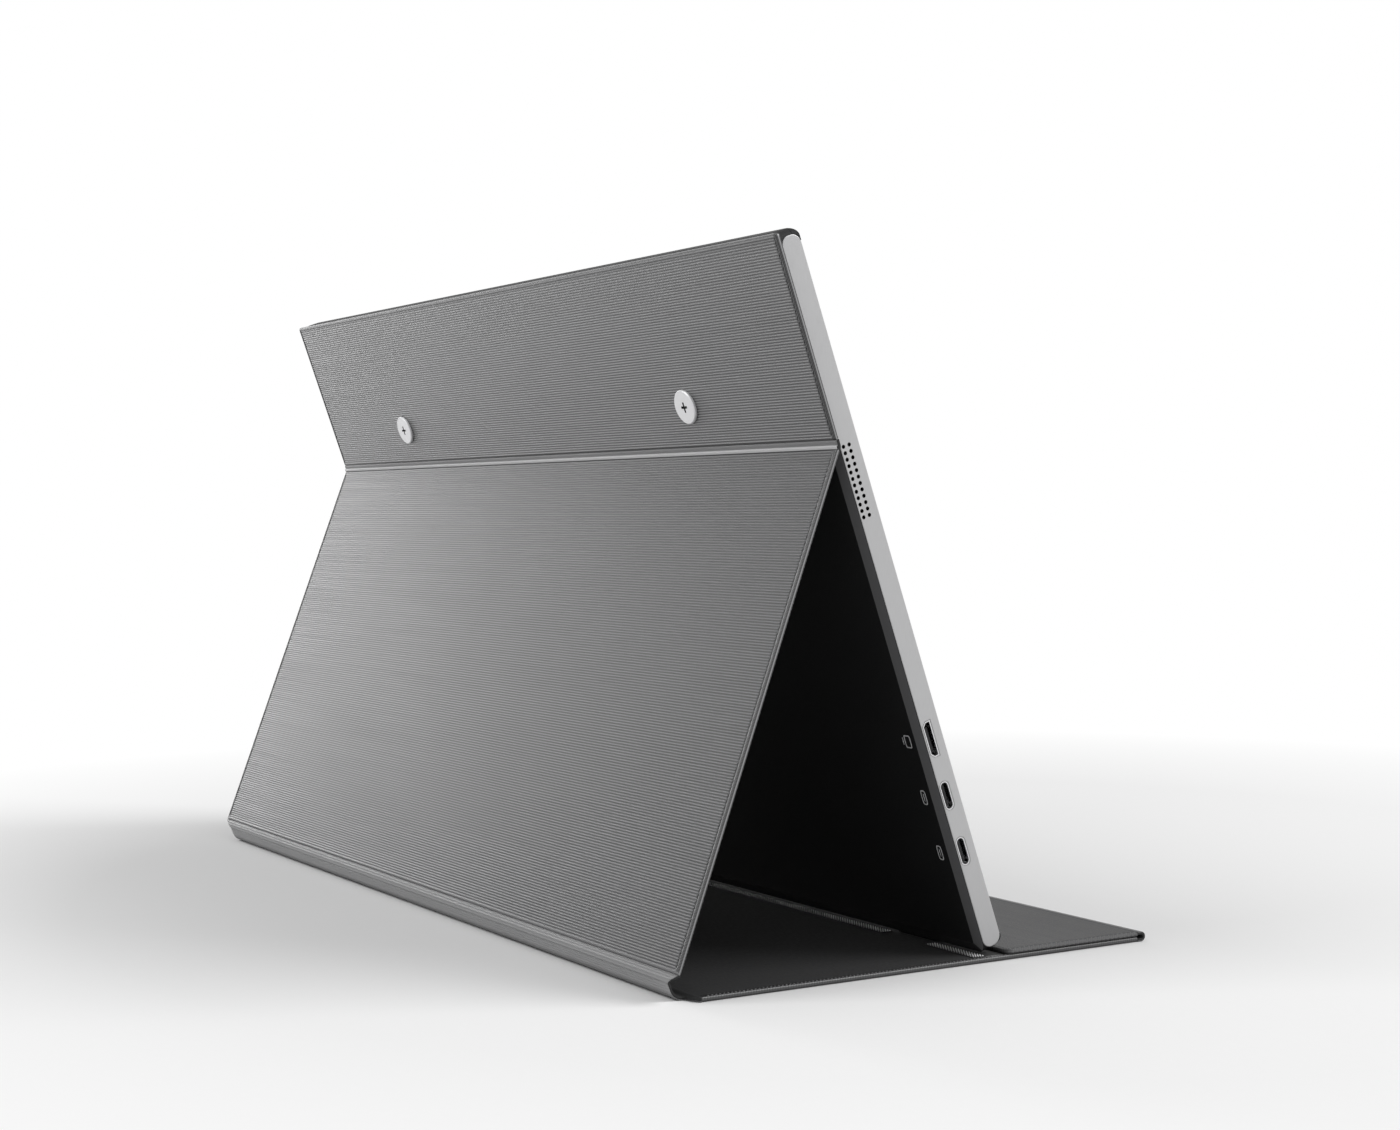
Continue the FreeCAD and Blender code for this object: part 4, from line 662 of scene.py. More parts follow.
# painted shade: the hole mark colours the grille holes' walls near black
RAIL_METAL = SatinMetal("rail_metal", (0.47, 0.47, 0.475), mark="hole_shade",
                        painted_light_colour=(0.006, 0.006, 0.006), grain=Grain.UP_THE_RAIL, metallic=0.55,
                        rough=(0.36, 0.46), contrast=0.04)
PLATED_STEEL = SatinMetal("plated_steel", (0.58, 0.58, 0.59), grain=Grain.ALONG_X)
SLOT_FINISHES: dict[str, Finish] = {
    "shell_plastic": BLACK_MOULDING,
    "bezel_plastic": BLACK_MOULDING,
    "rail_metal": RAIL_METAL,
    "socket_metal": SatinMetal("socket_metal", (0.72, 0.72, 0.73), rough=(0.2, 0.3)),
    "contact_plastic": DARK_TRIM,
    "jack_plastic": DARK_TRIM,
    "button_plastic": RAIL_METAL,
    "bracket_plastic": DARK_TRIM,
    "switch_plastic": DARK_TRIM,
    "board_green": PrintedSheet("board_green", (0.015, 0.12, 0.05), line_colour=(0.03, 0.22, 0.1)),
    "ribbon_film": PrintedSheet("ribbon_film", (0.7, 0.66, 0.55), line_colour=(0.35, 0.3, 0.2)),
    "small_steel": PLATED_STEEL,
    "speaker_plastic": DARK_TRIM,
    "gasket_foam": MouldedPlastic("gasket_foam", (0.02, 0.02, 0.02), grain_scale=1500.0,
                                  rough=(0.8, 0.95)),
    "insert_brass": SatinMetal("insert_brass", (0.65, 0.46, 0.18)),
    # painted shade: the slot mark colours the screws' driver crosses near black
    "screw_steel": SatinMetal("screw_steel", (0.72, 0.72, 0.73), mark="slot",
                              painted_light_colour=(0.004, 0.004, 0.004), metallic=0.35, rough=(0.4, 0.5),
                              contrast=0.03),
    "magnet_metal": SatinMetal("magnet_metal", (0.5, 0.5, 0.52)),
    "foot_rubber": MouldedPlastic("foot_rubber", (0.012, 0.012, 0.012), grain_scale=1800.0,
                                  rough=(0.7, 0.9)),
    "screen_glass": CoatedGlass("screen_glass", (0.006, 0.006, 0.008)),
    "light_films": PrintedSheet("light_films", (0.75, 0.77, 0.8), line_colour=(0.6, 0.62, 0.66)),
    "led_board": PrintedSheet("led_board", (0.8, 0.8, 0.74), line_colour=(0.85, 0.7, 0.2),
                              line_pitch=6.0 * MM),
    "reflector_white": PrintedSheet("reflector_white", (0.85, 0.85, 0.85), line_colour=(0.7, 0.7, 0.72)),
    "chassis_steel": PLATED_STEEL,
    "chip_black": DARK_TRIM,
    "pad_grey": MouldedPlastic("pad_grey", (0.35, 0.37, 0.4), grain_scale=1200.0, rough=(0.6, 0.8)),
    "shield_steel": PLATED_STEEL,
    "cover_fabric": COVER_CLOTH,
    "fold_fabric": FOLD_CLOTH,
    "stiffener_board": MouldedPlastic("stiffener_board", (0.3, 0.28, 0.25), grain_scale=900.0,
                                      rough=(0.7, 0.9)),
    "lining_fabric": LINING_CLOTH,
    "tape_foam": MouldedPlastic("tape_foam", (0.02, 0.02, 0.02), grain_scale=1500.0, rough=(0.8, 0.95)),
    "grip_rubber": GRIP_RUBBER,
}


@dataclass(frozen=True)
class PlaneFrame:
    """A flat face: across is X, along runs up the face and normal points out of it."""

    origin: np.ndarray
    along: np.ndarray
    normal: np.ndarray

    def place(self, x: np.ndarray, s: np.ndarray, h: np.ndarray) -> np.ndarray:
        """Points origin + x across + s along + h normal.

        Args:
            x: places across.
            s: places along.
            h: heights out of the face.

        Returns:
            The points, with the three axes last.
        """
        return (self.origin + x[..., None] * ACROSS + s[..., None] * self.along
                + h[..., None] * self.normal)

    @property
    def left_handed(self) -> bool:
        """Whether across, along and normal turn the other way round."""
        return float(np.dot(np.cross(ACROSS, self.along), self.normal)) < 0.0


@dataclass(frozen=True)
class Seat:
    """Where a flat node lies: its inner face's frame, and its sizes."""

    plane: PlaneFrame
    half_width: float
    length: float
    thickness: float


@dataclass
class Layout:
    """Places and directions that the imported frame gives."""

    nodes: dict[str, bpy.types.Object]
    joints: dict[str, dict]

    def joint(self, name: str) -> np.ndarray:
        """A joint's place in the frame."""
        return np.array(self.joints[name]["pos_m"])

    @property
    def slab_out(self) -> np.ndarray:
        """Direction out of the slab's back, which is the rocker's axis."""
        return np.array(self.joints["menu_rock"]["axis"])

    @property
    def slab_up(self) -> np.ndarray:
        """Direction up the slab."""
        return np.cross(ACROSS, self.slab_out)

    @property
    def leg_up(self) -> np.ndarray:
        """Direction up the leg, from its lower seam to the crease."""
        run = self.joint("leg_fold") - self.joint("spine_fold")
        return run / np.linalg.norm(run)

    @property
    def leg_out(self) -> np.ndarray:
        """Direction out of the leg's back."""
        return np.cross(self.leg_up, ACROSS)

    def points(self, node: str) -> np.ndarray:
        """A node's vertices at rest.

        Args:
            node: the node's name.

        Returns:
            The vertices, one row each.
        """
        mesh = self.nodes[node].data
        numbers = np.empty(3 * len(mesh.vertices), np.float32)
        mesh.vertices.foreach_get("co", numbers)
        return numbers.reshape(-1, 3).astype(float)

    def seat(self, node: str, along: np.ndarray, normal: np.ndarray) -> Seat:
        """Measures a flat node in given directions.

        Args:
            node: the node's name.
            along: direction up the face.
            normal: direction out of the face.

        Returns:
            The frame of its inner face and its sizes.
        """
        points = self.points(node)
        s = points @ along
        h = points @ normal
        plane = PlaneFrame(along * s.min() + normal * h.min(), along, normal)
        return Seat(plane, float(points[:, 0].max()), float(np.ptp(s)), float(np.ptp(h)))


def two_sheets(plane: PlaneFrame, x: np.ndarray, s: np.ndarray, outer: np.ndarray,
               inner: np.ndarray, values: dict[str, tuple[np.ndarray, np.ndarray]]) -> Surface:
    """Closed plate of two height sheets over one grid that share their outer ring of points.

    Args:
        plane: the face that the heights stand on.
        x: places across, rows by columns.
        s: places along, rows by columns.
        outer: heights of the outer sheet.
        inner: heights of the inner sheet.
        values: named values of the outer and the inner sheet.

    Returns:
        The closed surface.
    """
    rows, columns = x.shape
    front = np.arange(rows * columns).reshape(rows, columns)
    rear = front.copy()
    hidden = (slice(1, -1), slice(1, -1))
    rear[hidden] = rows * columns + np.arange((rows - 2) * (columns - 2)).reshape(rows - 2, -1)
    points = np.concatenate([
        plane.place(x, s, outer).reshape(-1, 3),
        plane.place(x, s, inner)[hidden].reshape(-1, 3),
    ])
    places = np.stack([x, s], axis=-1)
    flip = plane.left_handed
    return Surface(
        points,
        np.concatenate([sheet_quads(front, flip), sheet_quads(rear, not flip)]),
        np.concatenate([places.reshape(-1, 2), places[hidden].reshape(-1, 2)]),
        {key: np.concatenate([a.ravel(), b[hidden].ravel()]) for key, (a, b) in values.items()},
    )


def edged_steps(length: float, edge: Steps, step: float) -> np.ndarray:
    """Places along a length: the edge steps at both ends, and even steps between.

    Args:
        length: the whole length.
        edge: distances from either end, starting at 0.
        step: about how far apart the places between are.

    Returns:
        Rising places from 0 to length.
    """
    near = np.array(edge)
    count = max(2, round((length - 2.0 * near[-1]) / step))
    middle = np.linspace(near[-1], length - near[-1], count + 1)[1:-1]
    return np.concatenate([near, middle, length - near[::-1]])


BAR_SIDES = 6
BAR_STEPS = (-1.0, -0.86, -0.4, 0.4, 0.86, 1.0)
BAR_SWELL = (0.25, 0.7, 1.0, 1.0, 0.7, 0.25)
BAR_CAP = ((0, 1, 2, 3), (0, 3, 4, 5))


def capsules(plane: PlaneFrame, starts: np.ndarray, ends: np.ndarray, radius: float,
             height: float) -> Surface:
    """Straight six-sided bars that swell from a small tip to the radius and back.

    A point is middle + t half + swell(t) (cos a side + sin a normal), for a share t of the half
    length and an angle a round the bar.

    Args:
        plane: the face that the bars lie on.
        starts: first places, across and along, one row for each bar.
        ends: last places.
        radius: the bars' radius.
        height: height of the bars' middle lines.

    Returns:
        All the bars as one surface.
    """
    ring = round_angles(BAR_SIDES)
    t = np.array(BAR_STEPS)[:, None]
    swell = np.array(BAR_SWELL)[:, None] * radius
    side = swell * np.cos(ring)
    lift = swell * np.sin(ring)
    middle = ((starts + ends) / 2.0)[:, :, None, None]
    half = ((ends - starts) / 2.0)[:, :, None, None]
    unit = half / np.linalg.norm(half, axis=1, keepdims=True)
    across = middle[:, 0] + t * half[:, 0] - side * unit[:, 1]
    along = middle[:, 1] + t * half[:, 1] + side * unit[:, 0]
    points = plane.place(across, along, height + lift + 0.0 * across)
    index = np.arange(t.size * ring.size).reshape(t.size, ring.size)
    cap = np.array(BAR_CAP)
    flip = not plane.left_handed
    one = np.concatenate([
        sheet_quads(closed(index), flip),
        index[0][cap] if flip else index[0][cap][:, ::-1],
        index[-1][cap][:, ::-1] if flip else index[-1][cap],
    ])
    quads = (one[None] + (np.arange(len(starts)) * index.size)[:, None, None]).reshape(-1, 4)
    places = np.stack([across, along], axis=-1).reshape(-1, 2)
    return Surface(points.reshape(-1, 3), quads, places)


@dataclass(frozen=True)
class StitchRow:
    """Short slanted stitches along a straight line, as small capsules."""

    pitch: float = 1.8 * MM
    length: float = 1.25 * MM
    radius: float = 0.17 * MM
    slant_deg: float = 28.0

    def surface(self, plane: PlaneFrame, start: Pair, end: Pair, height: float) -> Surface:
        """Stitches of one length, evenly spaced on the line and turned by the slant.

        Args:
            plane: the face that the stitches lie on.
            start: first place, across and along.
            end: last place, across and along.
            height: height of the stitches' middle line.

        Returns:
            All the stitches as one surface.
        """
        run = np.subtract(end, start)
        count = max(2, int(float(np.linalg.norm(run)) / self.pitch))
        turn = math.atan2(run[1], run[0]) + math.radians(self.slant_deg)
        half = np.array((math.cos(turn), math.sin(turn))) * self.length / 2.0
        middles = np.array(start) + run * ((np.arange(count) + 0.5) / count)[:, None]
        return capsules(plane, middles - half, middles + half, self.radius, height)


SEAM_STITCH = StitchRow()
PROUD_STITCH = StitchRow(pitch=1.3 * MM, length=0.95 * MM, radius=0.2 * MM)
END_STITCH = StitchRow(pitch=1.7 * MM, length=1.0 * MM, radius=0.2 * MM, slant_deg=0.0)


@dataclass
class StiffPanel:
    """One stiffened cover panel: ribbed skin with turned-in edges, lining and stitching.

    The lifts and end_sink are shares of a stitch's radius, sewn_share one of the turned-in
    border, end_level one of the thickness and lining_round one of the recess.
    """

    name: str
    body: str
    seat: Seat
    finish: RibbedCloth = COVER_CLOTH
    free: tuple[PanelEdge, ...] = ()
    butted: tuple[PanelEdge, ...] = ()
    # lipped edges get a painted highlight band of the width and share below; end_line and end_share set
    # the painted highlight line along the ends
    lipped: tuple[PanelEdge, ...] = ()
    lip_highlight: float = 0.85 * MM
    lip_share: float = 0.5
    end_line: float = 0.1 * MM
    end_share: float = 1.0
    sewn_hem: bool = True
    faint_seam: float = 0.35
    sewn_inside: bool = False
    proud_from: float = 0.0
    sewn_ends: bool = False
    corner: float = 1.2 * MM
    edge_round: float = 0.62 * MM
    butt_round: float = 0.05 * MM
    rib_pitch: float = COVER_CLOTH.pitch
    rib_depth: float = 0.19 * MM
    rows_per_rib: int = 4
    groove_in: float = 1.8 * MM
    groove_width: float = 0.3 * MM
    groove_depth: float = 0.26 * MM
    border_drop: float = 0.06 * MM
    turn_in: float = 2.4 * MM
    recess: float = 0.3 * MM
    blur: float = 0.08 * MM
    rim_shares: Steps = (0.0, 0.05, 0.16, 0.35, 0.65, 1.0)
    groove_shares: Steps = (-1.6, -0.8, 0.0, 0.8, 1.6)
    border_shares: Steps = (-1.0, 1.0, 5.0)
    field_in: float = 1.0 * MM
    column_step: float = 30.0 * MM
    lining_step: float = 6.0 * MM
    lining_round: float = 0.4
    groove_lift: float = 0.5
    sewn_share: float = 0.3
    flush_lift: float = 0.4
    end_sink: float = 0.5
    end_level: float = 0.4

    def grid(self) -> tuple[np.ndarray, np.ndarray]:
        """Places across and along, close together at the edges and on every rib.

        Returns:
            The places across and the places along, rows by columns.
        """
        rim = np.array(self.rim_shares) * self.edge_round
        groove = self.groove_in + np.array(self.groove_shares) * self.groove_width
        border = self.turn_in + np.array(self.border_shares) * self.blur
        ends = tuple(np.unique(np.concatenate([rim, groove, border, [self.turn_in + self.field_in]])))
        x = edged_steps(2.0 * self.seat.half_width, ends, self.column_step) - self.seat.half_width
        s = edged_steps(self.seat.length, tuple(rim), self.rib_pitch / self.rows_per_rib)
        along, across = np.meshgrid(s, x, indexing="ij")
        return across, along

    def distances(self, s: np.ndarray) -> dict[PanelEdge, np.ndarray]:
        """Distance of each place from either long edge."""
        return {PanelEdge.LOW: s, PanelEdge.HIGH: self.seat.length - s}

    def within(self, distance: np.ndarray) -> np.ndarray:
        """0 on the border outside the seam groove, 1 inside it."""
        return ease(distance, self.groove_in - self.blur, self.groove_in + self.blur)

    def rounded(self, x: np.ndarray, s: np.ndarray) -> tuple[np.ndarray, np.ndarray]:
        """Turns the square at each free corner into a quarter disc.

        A square's point (a, b) goes to (a sqrt(1 - b^2/2), b sqrt(1 - a^2/2)).

        Args:
            x: places across.
            s: places along.

        Returns:
            The moved places across and along.
        """
        r = self.corner
        a = np.clip((np.abs(x) - self.seat.half_width + r) / r, 0.0, 1.0)
        side = np.sign(x)
        for edge in self.free:
            b = np.clip((r - self.distances(s)[edge]) / r, 0.0, 1.0)
            outward = 1.0 if edge is PanelEdge.HIGH else -1.0
            x = x + side * r * a * (np.sqrt(1.0 - b * b / 2.0) - 1.0)
            s = s + outward * r * b * (np.sqrt(1.0 - a * a / 2.0) - 1.0)
        return x, s

    def skin(self) -> Surface:
        """Ribbed skin round the board.

        The outer height is the panel's thickness less half a cosine for each rib, a bell for
        each seam groove and a quarter circle at the rim; the inner face has a turned-in border
        round a shallow recess for the lining.

        Returns:
            The closed skin with its border and seam values and its painted edge highlight.
        """
        x, s = self.grid()
        ends = self.seat.half_width - np.abs(x)
        reach = self.groove_in - self.groove_width
        inside = ease(ends, reach, self.groove_in)
        seam = hump(ends, self.groove_in, self.groove_width)
        core = self.within(ends)
        shaded = core
        turned = ends
        rim = quarter_round(ends, self.edge_round)
        for edge, distance in self.distances(s).items():
            radius = self.butt_round if edge in self.butted else self.edge_round
            rim = rim * quarter_round(distance, radius)
            seam = seam * ease(distance, reach, self.groove_in)
            if edge in self.free:
                core = core * self.within(distance)
                turned = np.minimum(turned, distance)
                if self.sewn_hem:
                    shaded = shaded * self.within(distance)
        # painted highlight: a light line along the ends and a light band along lipped edges, where the
        # rounded edge would catch the light; the ribs stop under it
        lip_highlight = self.end_share * (1.0 - ease(ends, 0.0, self.end_line))
        for edge in self.lipped:
            band = 1.0 - ease(self.distances(s)[edge], self.lip_highlight - self.blur, self.lip_highlight)
            lip_highlight = np.maximum(lip_highlight, self.lip_share * band)
        for edge in self.free:
            line = hump(self.distances(s)[edge], self.groove_in, self.groove_width)
            seam = np.maximum(seam, line * inside * (1.0 if self.sewn_hem else self.faint_seam))
        ribs = 0.5 - 0.5 * np.cos(2.0 * math.pi * s / self.rib_pitch)
        thickness = self.seat.thickness
        top = (thickness - self.rib_depth * ribs * core * (1.0 - seam) * (1.0 - lip_highlight)
               - self.groove_depth * seam - self.border_drop * (1.0 - core))
        bottom = self.recess * ease(turned, self.turn_in - self.blur, self.turn_in + self.blur)
        half = thickness / 2.0
        outer = half + (top - half) * rim
        inner = half + (bottom - half) * rim
        x, s = self.rounded(x, s)
        border = 1.0 - shaded
        return two_sheets(self.seat.plane, x, s, outer, inner, {
            "border": (border, np.ones_like(border)),
            "seam": (seam, np.zeros_like(seam)),
            "lip_highlight": (lip_highlight, np.zeros_like(lip_highlight)),
        })

    def lining_span(self) -> tuple[float, float, float]:
        """How far the lining reaches.

        Returns:
            Its half width, and where it starts and ends along the panel.
        """
        gap = self.turn_in + self.blur
        low, high = (gap if edge in self.free else self.butt_round for edge in PanelEdge)
        return self.seat.half_width - gap, low, self.seat.length - high

    def lining(self) -> Surface:
        """Thin cloth plate that fills the recess, rounded at its rim by a quarter circle.

        Returns:
            The closed plate.
        """
        half_width, low, high = self.lining_span()
        radius = self.lining_round * self.recess
        steps = tuple(radius * share for share in self.rim_shares)
        across = edged_steps(2.0 * half_width, steps, self.column_step) - half_width
        along = edged_steps(high - low, steps, self.lining_step)
        s, x = np.meshgrid(along, across, indexing="ij")
        rim = rounded_rim((half_width - np.abs(x), s, high - low - s), radius)
        half = self.recess / 2.0
        return two_sheets(self.seat.plane, x, s + low, half + half * rim, half - half * rim, {})

    def stitches(self) -> Surface:
        """Rows of stitches in the outer face's seam grooves.

        Returns:
            All the rows as one surface.
        """
        wide = self.seat.half_width - self.groove_in
        low = self.groove_in
        high = self.seat.length - self.groove_in
        height = self.seat.thickness - self.groove_depth + self.groove_lift * SEAM_STITCH.radius
        lines = [((-wide, low), (-wide, high)), ((wide, high), (wide, low))]
        for edge in self.free if self.sewn_hem else ():
            s = high if edge is PanelEdge.HIGH else low
            lines.append(((-wide, s), (wide, s)))
        rows = [SEAM_STITCH.surface(self.seat.plane, start, end, height) for start, end in lines]
        return Surface.joined(rows)

    def edge_stitches(self) -> list[Surface]:
        """Rows along the ends' borders inside, flush and then proud, and on the ends themselves.

        Returns:
            The rows that this panel has.
        """
        low = self.groove_in
        high = self.seat.length - self.groove_in
        rows = []
        if self.sewn_inside:
            wide = self.seat.half_width - self.sewn_share * self.turn_in
            change = max(low, self.proud_from)
            rows += self.end_rows(SEAM_STITCH, wide, (low, change), self.flush_lift * SEAM_STITCH.radius)
            rows += self.end_rows(PROUD_STITCH, wide, (change, high), 0.0)
        if self.sewn_ends:
            wide = self.seat.half_width - self.end_sink * END_STITCH.radius
            rows += self.end_rows(END_STITCH, wide, (low, high), self.end_level * self.seat.thickness)
        return rows

    def end_rows(self, row: StitchRow, wide: float, span: Pair, height: float) -> list[Surface]:
        """A row of stitches along both ends of the panel.

        Args:
            row: the kind of stitch.
            wide: distance of the rows from the panel's middle.
            span: where the rows start and end along the panel.
            height: height of the stitches' middle line.

        Returns:
            The two rows, or nothing for an empty span.
        """
        low, high = span
        if high - low < row.pitch:
            return []
        return [row.surface(self.seat.plane, (-wide, low), (-wide, high), height),
                row.surface(self.seat.plane, (wide, high), (wide, low), height)]

    def build(self) -> None:
        """Makes and dresses the skin, the lining and the stitching, and sets them on the body."""
        skin = self.skin().to_object(self.name + "_cloth", self.finish)
        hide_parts(self.name + "_skin", self.name + "_board")
        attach(skin, self.body)
        lining = self.lining().to_object(self.name + "_inner_cloth", LINING_CLOTH)
        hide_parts(self.name + "_lining")
        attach(lining, self.body)
        thread = self.stitches().to_object(self.name + "_stitching", THREAD)
        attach(thread, self.body)
        rows = self.edge_stitches()
        if rows:
            edging = Surface.joined(rows).to_object(self.name + "_edge_stitching", EDGE_THREAD)
            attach(edging, self.body)


@dataclass
class Ribbon:
    """A bent strip: a profile of two lines in the YZ plane carried along X."""

    half_width: np.ndarray
    outer: np.ndarray
    inner: np.ndarray
    # share of the painted highlight at each place of the outer line
    crest: np.ndarray | None = None
    end_round: float = 0.3 * MM
    end_share: float = 0.34
    end_steps: Steps = tuple(MM * d for d in (0, 0.02, 0.08, 0.17, 0.3))
    column_step: float = 40.0 * MM

    @property
    def loop(self) -> np.ndarray:
        """The outer line and then the inner line backwards."""
        return np.concatenate([self.outer, self.inner[::-1]])

    def surface(self) -> Surface:
        """Carries the loop of both lines along X, drawn in to its middle line at each end.

        A point is middle + (point - middle) q, where q falls as a quarter circle from 1 to the
        end share over the end rounding; X is the widest X times the place's share of the width.

        Returns:
            The closed strip, mapped by X and by the distance along its profile.
        """
        widest = float(self.half_width.max())
        x = edged_steps(2.0 * widest, self.end_steps, self.column_step) - widest
        q = self.end_share + (1.0 - self.end_share) * quarter_round(widest - np.abs(x), self.end_round)
        middle = (self.outer + self.inner) / 2.0
        count = len(middle)
        spine = np.concatenate([middle, middle[::-1]])
        bent = spine + (self.loop - spine) * q[:, None, None]
        across = x[:, None] * np.concatenate([self.half_width, self.half_width[::-1]]) / widest
        points = np.concatenate([across[..., None], bent], axis=-1)
        run = run_length(middle)
        along = np.broadcast_to(np.concatenate([run, run[::-1]]), across.shape)
        places = np.stack([across, along], axis=-1)
        index = np.arange(across.size).reshape(across.shape)
        caps = [np.stack([index[row, :count], index[row, :count - 1:-1]]) for row in (0, -1)]
        flip = self.turns_left()
        quads = np.concatenate([
            sheet_quads(closed(index), flip),
            sheet_quads(caps[0], not flip),
            sheet_quads(caps[1], flip),
        ])
        values = {}
        if self.crest is not None:
            shares = np.concatenate([self.crest, 0.0 * self.crest])
            values["crest"] = np.broadcast_to(shares, across.shape).ravel()
        return Surface(points.reshape(-1, 3), quads, places.reshape(-1, 2), values)

    def turns_left(self) -> bool:
        """Whether the loop runs counter-clockwise seen from +X, by the sign of its area."""
        y, z = self.loop.T
        return float(np.sum(y * np.roll(z, -1) - z * np.roll(y, -1))) > 0.0


def line_run(start: np.ndarray, end: np.ndarray, count: int) -> np.ndarray:
    """Evenly spaced places on a straight run, both ends included."""
    return np.linspace(start, end, count)


def arc_run(centre: np.ndarray, radius: float, start_deg: float, end_deg: float,
            count: int) -> np.ndarray:
    """Places on an arc in the YZ plane, angles measured from +Y to +Z.

    Args:
        centre: the arc's middle.
        radius: its radius.
        start_deg: first angle.
        end_deg: last angle.
        count: how many places.

    Returns:
        The places, one row each.
    """
    angle = np.radians(np.linspace(start_deg, end_deg, count))
    return centre + radius * np.stack([np.cos(angle), np.sin(angle)], axis=1)


def bend_run(start: np.ndarray, knee: np.ndarray, end: np.ndarray, count: int) -> np.ndarray:
    """Quadratic curve (1-t)^2 start + 2t(1-t) knee + t^2 end."""
    t = np.linspace(0.0, 1.0, count)[:, None]
    return (1 - t) ** 2 * start + 2 * t * (1 - t) * knee + t ** 2 * end


def offset_run(centre: np.ndarray, distance: np.ndarray | float) -> np.ndarray:
    """A profile line moved sideways, to the left of its own direction.

    Args:
        centre: the line's places.
        distance: how far, all over or at each place.

    Returns:
        The moved places.
    """
    slope = np.gradient(centre, axis=0)
    slope = slope / np.linalg.norm(slope, axis=1, keepdims=True)
    left = np.stack([-slope[:, 1], slope[:, 0]], axis=1)
    return centre + left * np.reshape(distance, (-1, 1))


@dataclass
class CoverFolds:
    """The soft strips between the panels: crease, leg hem, spine, base hem and front roll.

    A dip is the depth and width of a seam line. Counts are numbers of places on profile lines.
    """

    layout: Layout
    half_width: float
    panel: float
    web: float = 2.2 * MM
    fold_gap: float = 0.95 * MM
    skin_share: float = 0.3
    bead: float = 0.45 * MM
    # how soon the crease bead's painted highlight sets in
    bead_highlight_edge: float = 0.3
    crease_knee: float = 0.8 * MM
    crease_dip: Pair = (0.22 * MM, 0.3 * MM)
    crease_counts: tuple[int, int, int] = (10, 17, 3)
    hem_knee: float = 0.7 * MM
    hem_dip: Pair = (0.3 * MM, 0.25 * MM)
    hem_counts: tuple[int, int, int] = (18, 15, 4)
    hem_thins_from: float = 1.0 * MM
    # span of the hem over which its painted highlight sets in
    hem_highlight_span: Pair = (0.3 * MM, 0.8 * MM)
    spine_radius: float = 4.4 * MM
    spine_thickness: float = 1.0 * MM
    spine_lean_deg: float = 22.0
    # share of the painted highlight on the hem and the spine, and where it fades out towards the floor
    fold_highlight: float = 0.34
    spine_highlight_fade: Pair = (2.6 * MM, 4.0 * MM)
    spine_counts: tuple[int, int] = (21, 41)
    scoop: float = 5.2 * MM
    scoop_past: float = 0.4 * MM
    ridge_pitch: float = 0.85 * MM
    ridge_depth: float = 0.14 * MM
    low_ridges: float = 0.4
    base_rise: Pair = (0.2 * MM, 2.0 * MM)
    base_clear: float = 0.3 * MM
    base_count: int = 19
    roll_skin: float = 0.5 * MM
    roll_lining: float = 0.45 * MM
    roll_clear: float = 0.05 * MM
    roll_counts: tuple[int, int] = (5, 25)
    bend_reach: float = 0.9 * MM

    def spot(self, joint: str) -> np.ndarray:
        """A fold axis as a place in the YZ plane."""
        return self.layout.joint(joint)[1:]

    def strip(self, name: str, outer: np.ndarray, inner: np.ndarray, look: tuple[Finish, str],
              inset: np.ndarray | float = 0.0, crest: np.ndarray | None = None) -> bpy.types.Object:
        """Makes one strip.

        Args:
            name: the piece's name.
            outer: profile line on the outer side.
            inner: profile line on the inner side.
            look: its finish, and the record's slot, which is not used.
            inset: how far the ends stand in from the cover's ends, all over or at each place.
            crest: share of the painted highlight tone at each place of the outer line.

        Returns:
            The new piece.
        """
        widths = self.half_width - inset + np.zeros(len(outer))
        piece = Ribbon(widths, outer, inner, crest).surface().to_object(name, look[0])
        return piece

    def pair(self, name: str, outer: np.ndarray, inner: np.ndarray, finish: Finish,
             inset: np.ndarray | float = 0.0, crest: np.ndarray | None = None) -> list[bpy.types.Object]:
        """Cloth outside and lining inside of one fold.

        Args:
            name: start of both names.
            outer: profile line on the outer side.
            inner: profile line on the inner side.
            finish: the cloth's finish.
            inset: how far the ends stand in from the cover's ends.
            crest: share of the painted highlight tone at each place.

        Returns:
            The cloth piece and the lining piece.
        """
        seam = outer + (inner - outer) * self.skin_share
        return [
            self.strip(name + "_cloth", outer, seam, (finish, "fold_fabric"), inset, crest),
            self.strip(name + "_inner_cloth", seam, inner, (LINING_CLOTH, "lining_fabric"), inset),
        ]

    def bend(self, pieces: list[bpy.types.Object], bodies: tuple[str, str], axis: np.ndarray,
             before: np.ndarray, after: np.ndarray) -> None:
        """Bakes each piece's transform into its mesh; the pieces are set on no body and do not turn.

        Args:
            pieces: the strips.
            bodies: the body before and the body after the fold; not used.
            axis: the fold's place; not used.
            before: direction from the axis along the first body's side; not used.
            after: direction from the axis along the second body's side; not used.
        """
        for piece in pieces:
            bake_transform(piece)

    def ridges(self, run: np.ndarray) -> np.ndarray:
        """Depth of the long ridges: half a cosine for each pitch along the profile."""
        return self.ridge_depth * (0.5 - 0.5 * np.cos(2.0 * math.pi * run / self.ridge_pitch))

    def folded(self, axis: np.ndarray, before: np.ndarray, after: np.ndarray, knee: float,
               counts: tuple[int, int, int]) -> np.ndarray:
        """Middle line of a fold: a straight web, a bend with the axis as its corner, a short end.

        Args:
            axis: the fold's place.
            before: direction from the axis along the web.
            after: direction from the axis along the other side.
            knee: distance from the axis at which the bend starts and ends.
            counts: how many places the web, the bend and the end have.

        Returns:
            The places, one row each.
        """
        start = axis + before * knee
        end = axis + after * knee
        return np.concatenate([
            line_run(axis + before * self.web, start, counts[0])[:-1],
            bend_run(start, axis, end, counts[1])[:-1],
            line_run(end, axis + after * self.fold_gap, counts[2]),
        ])

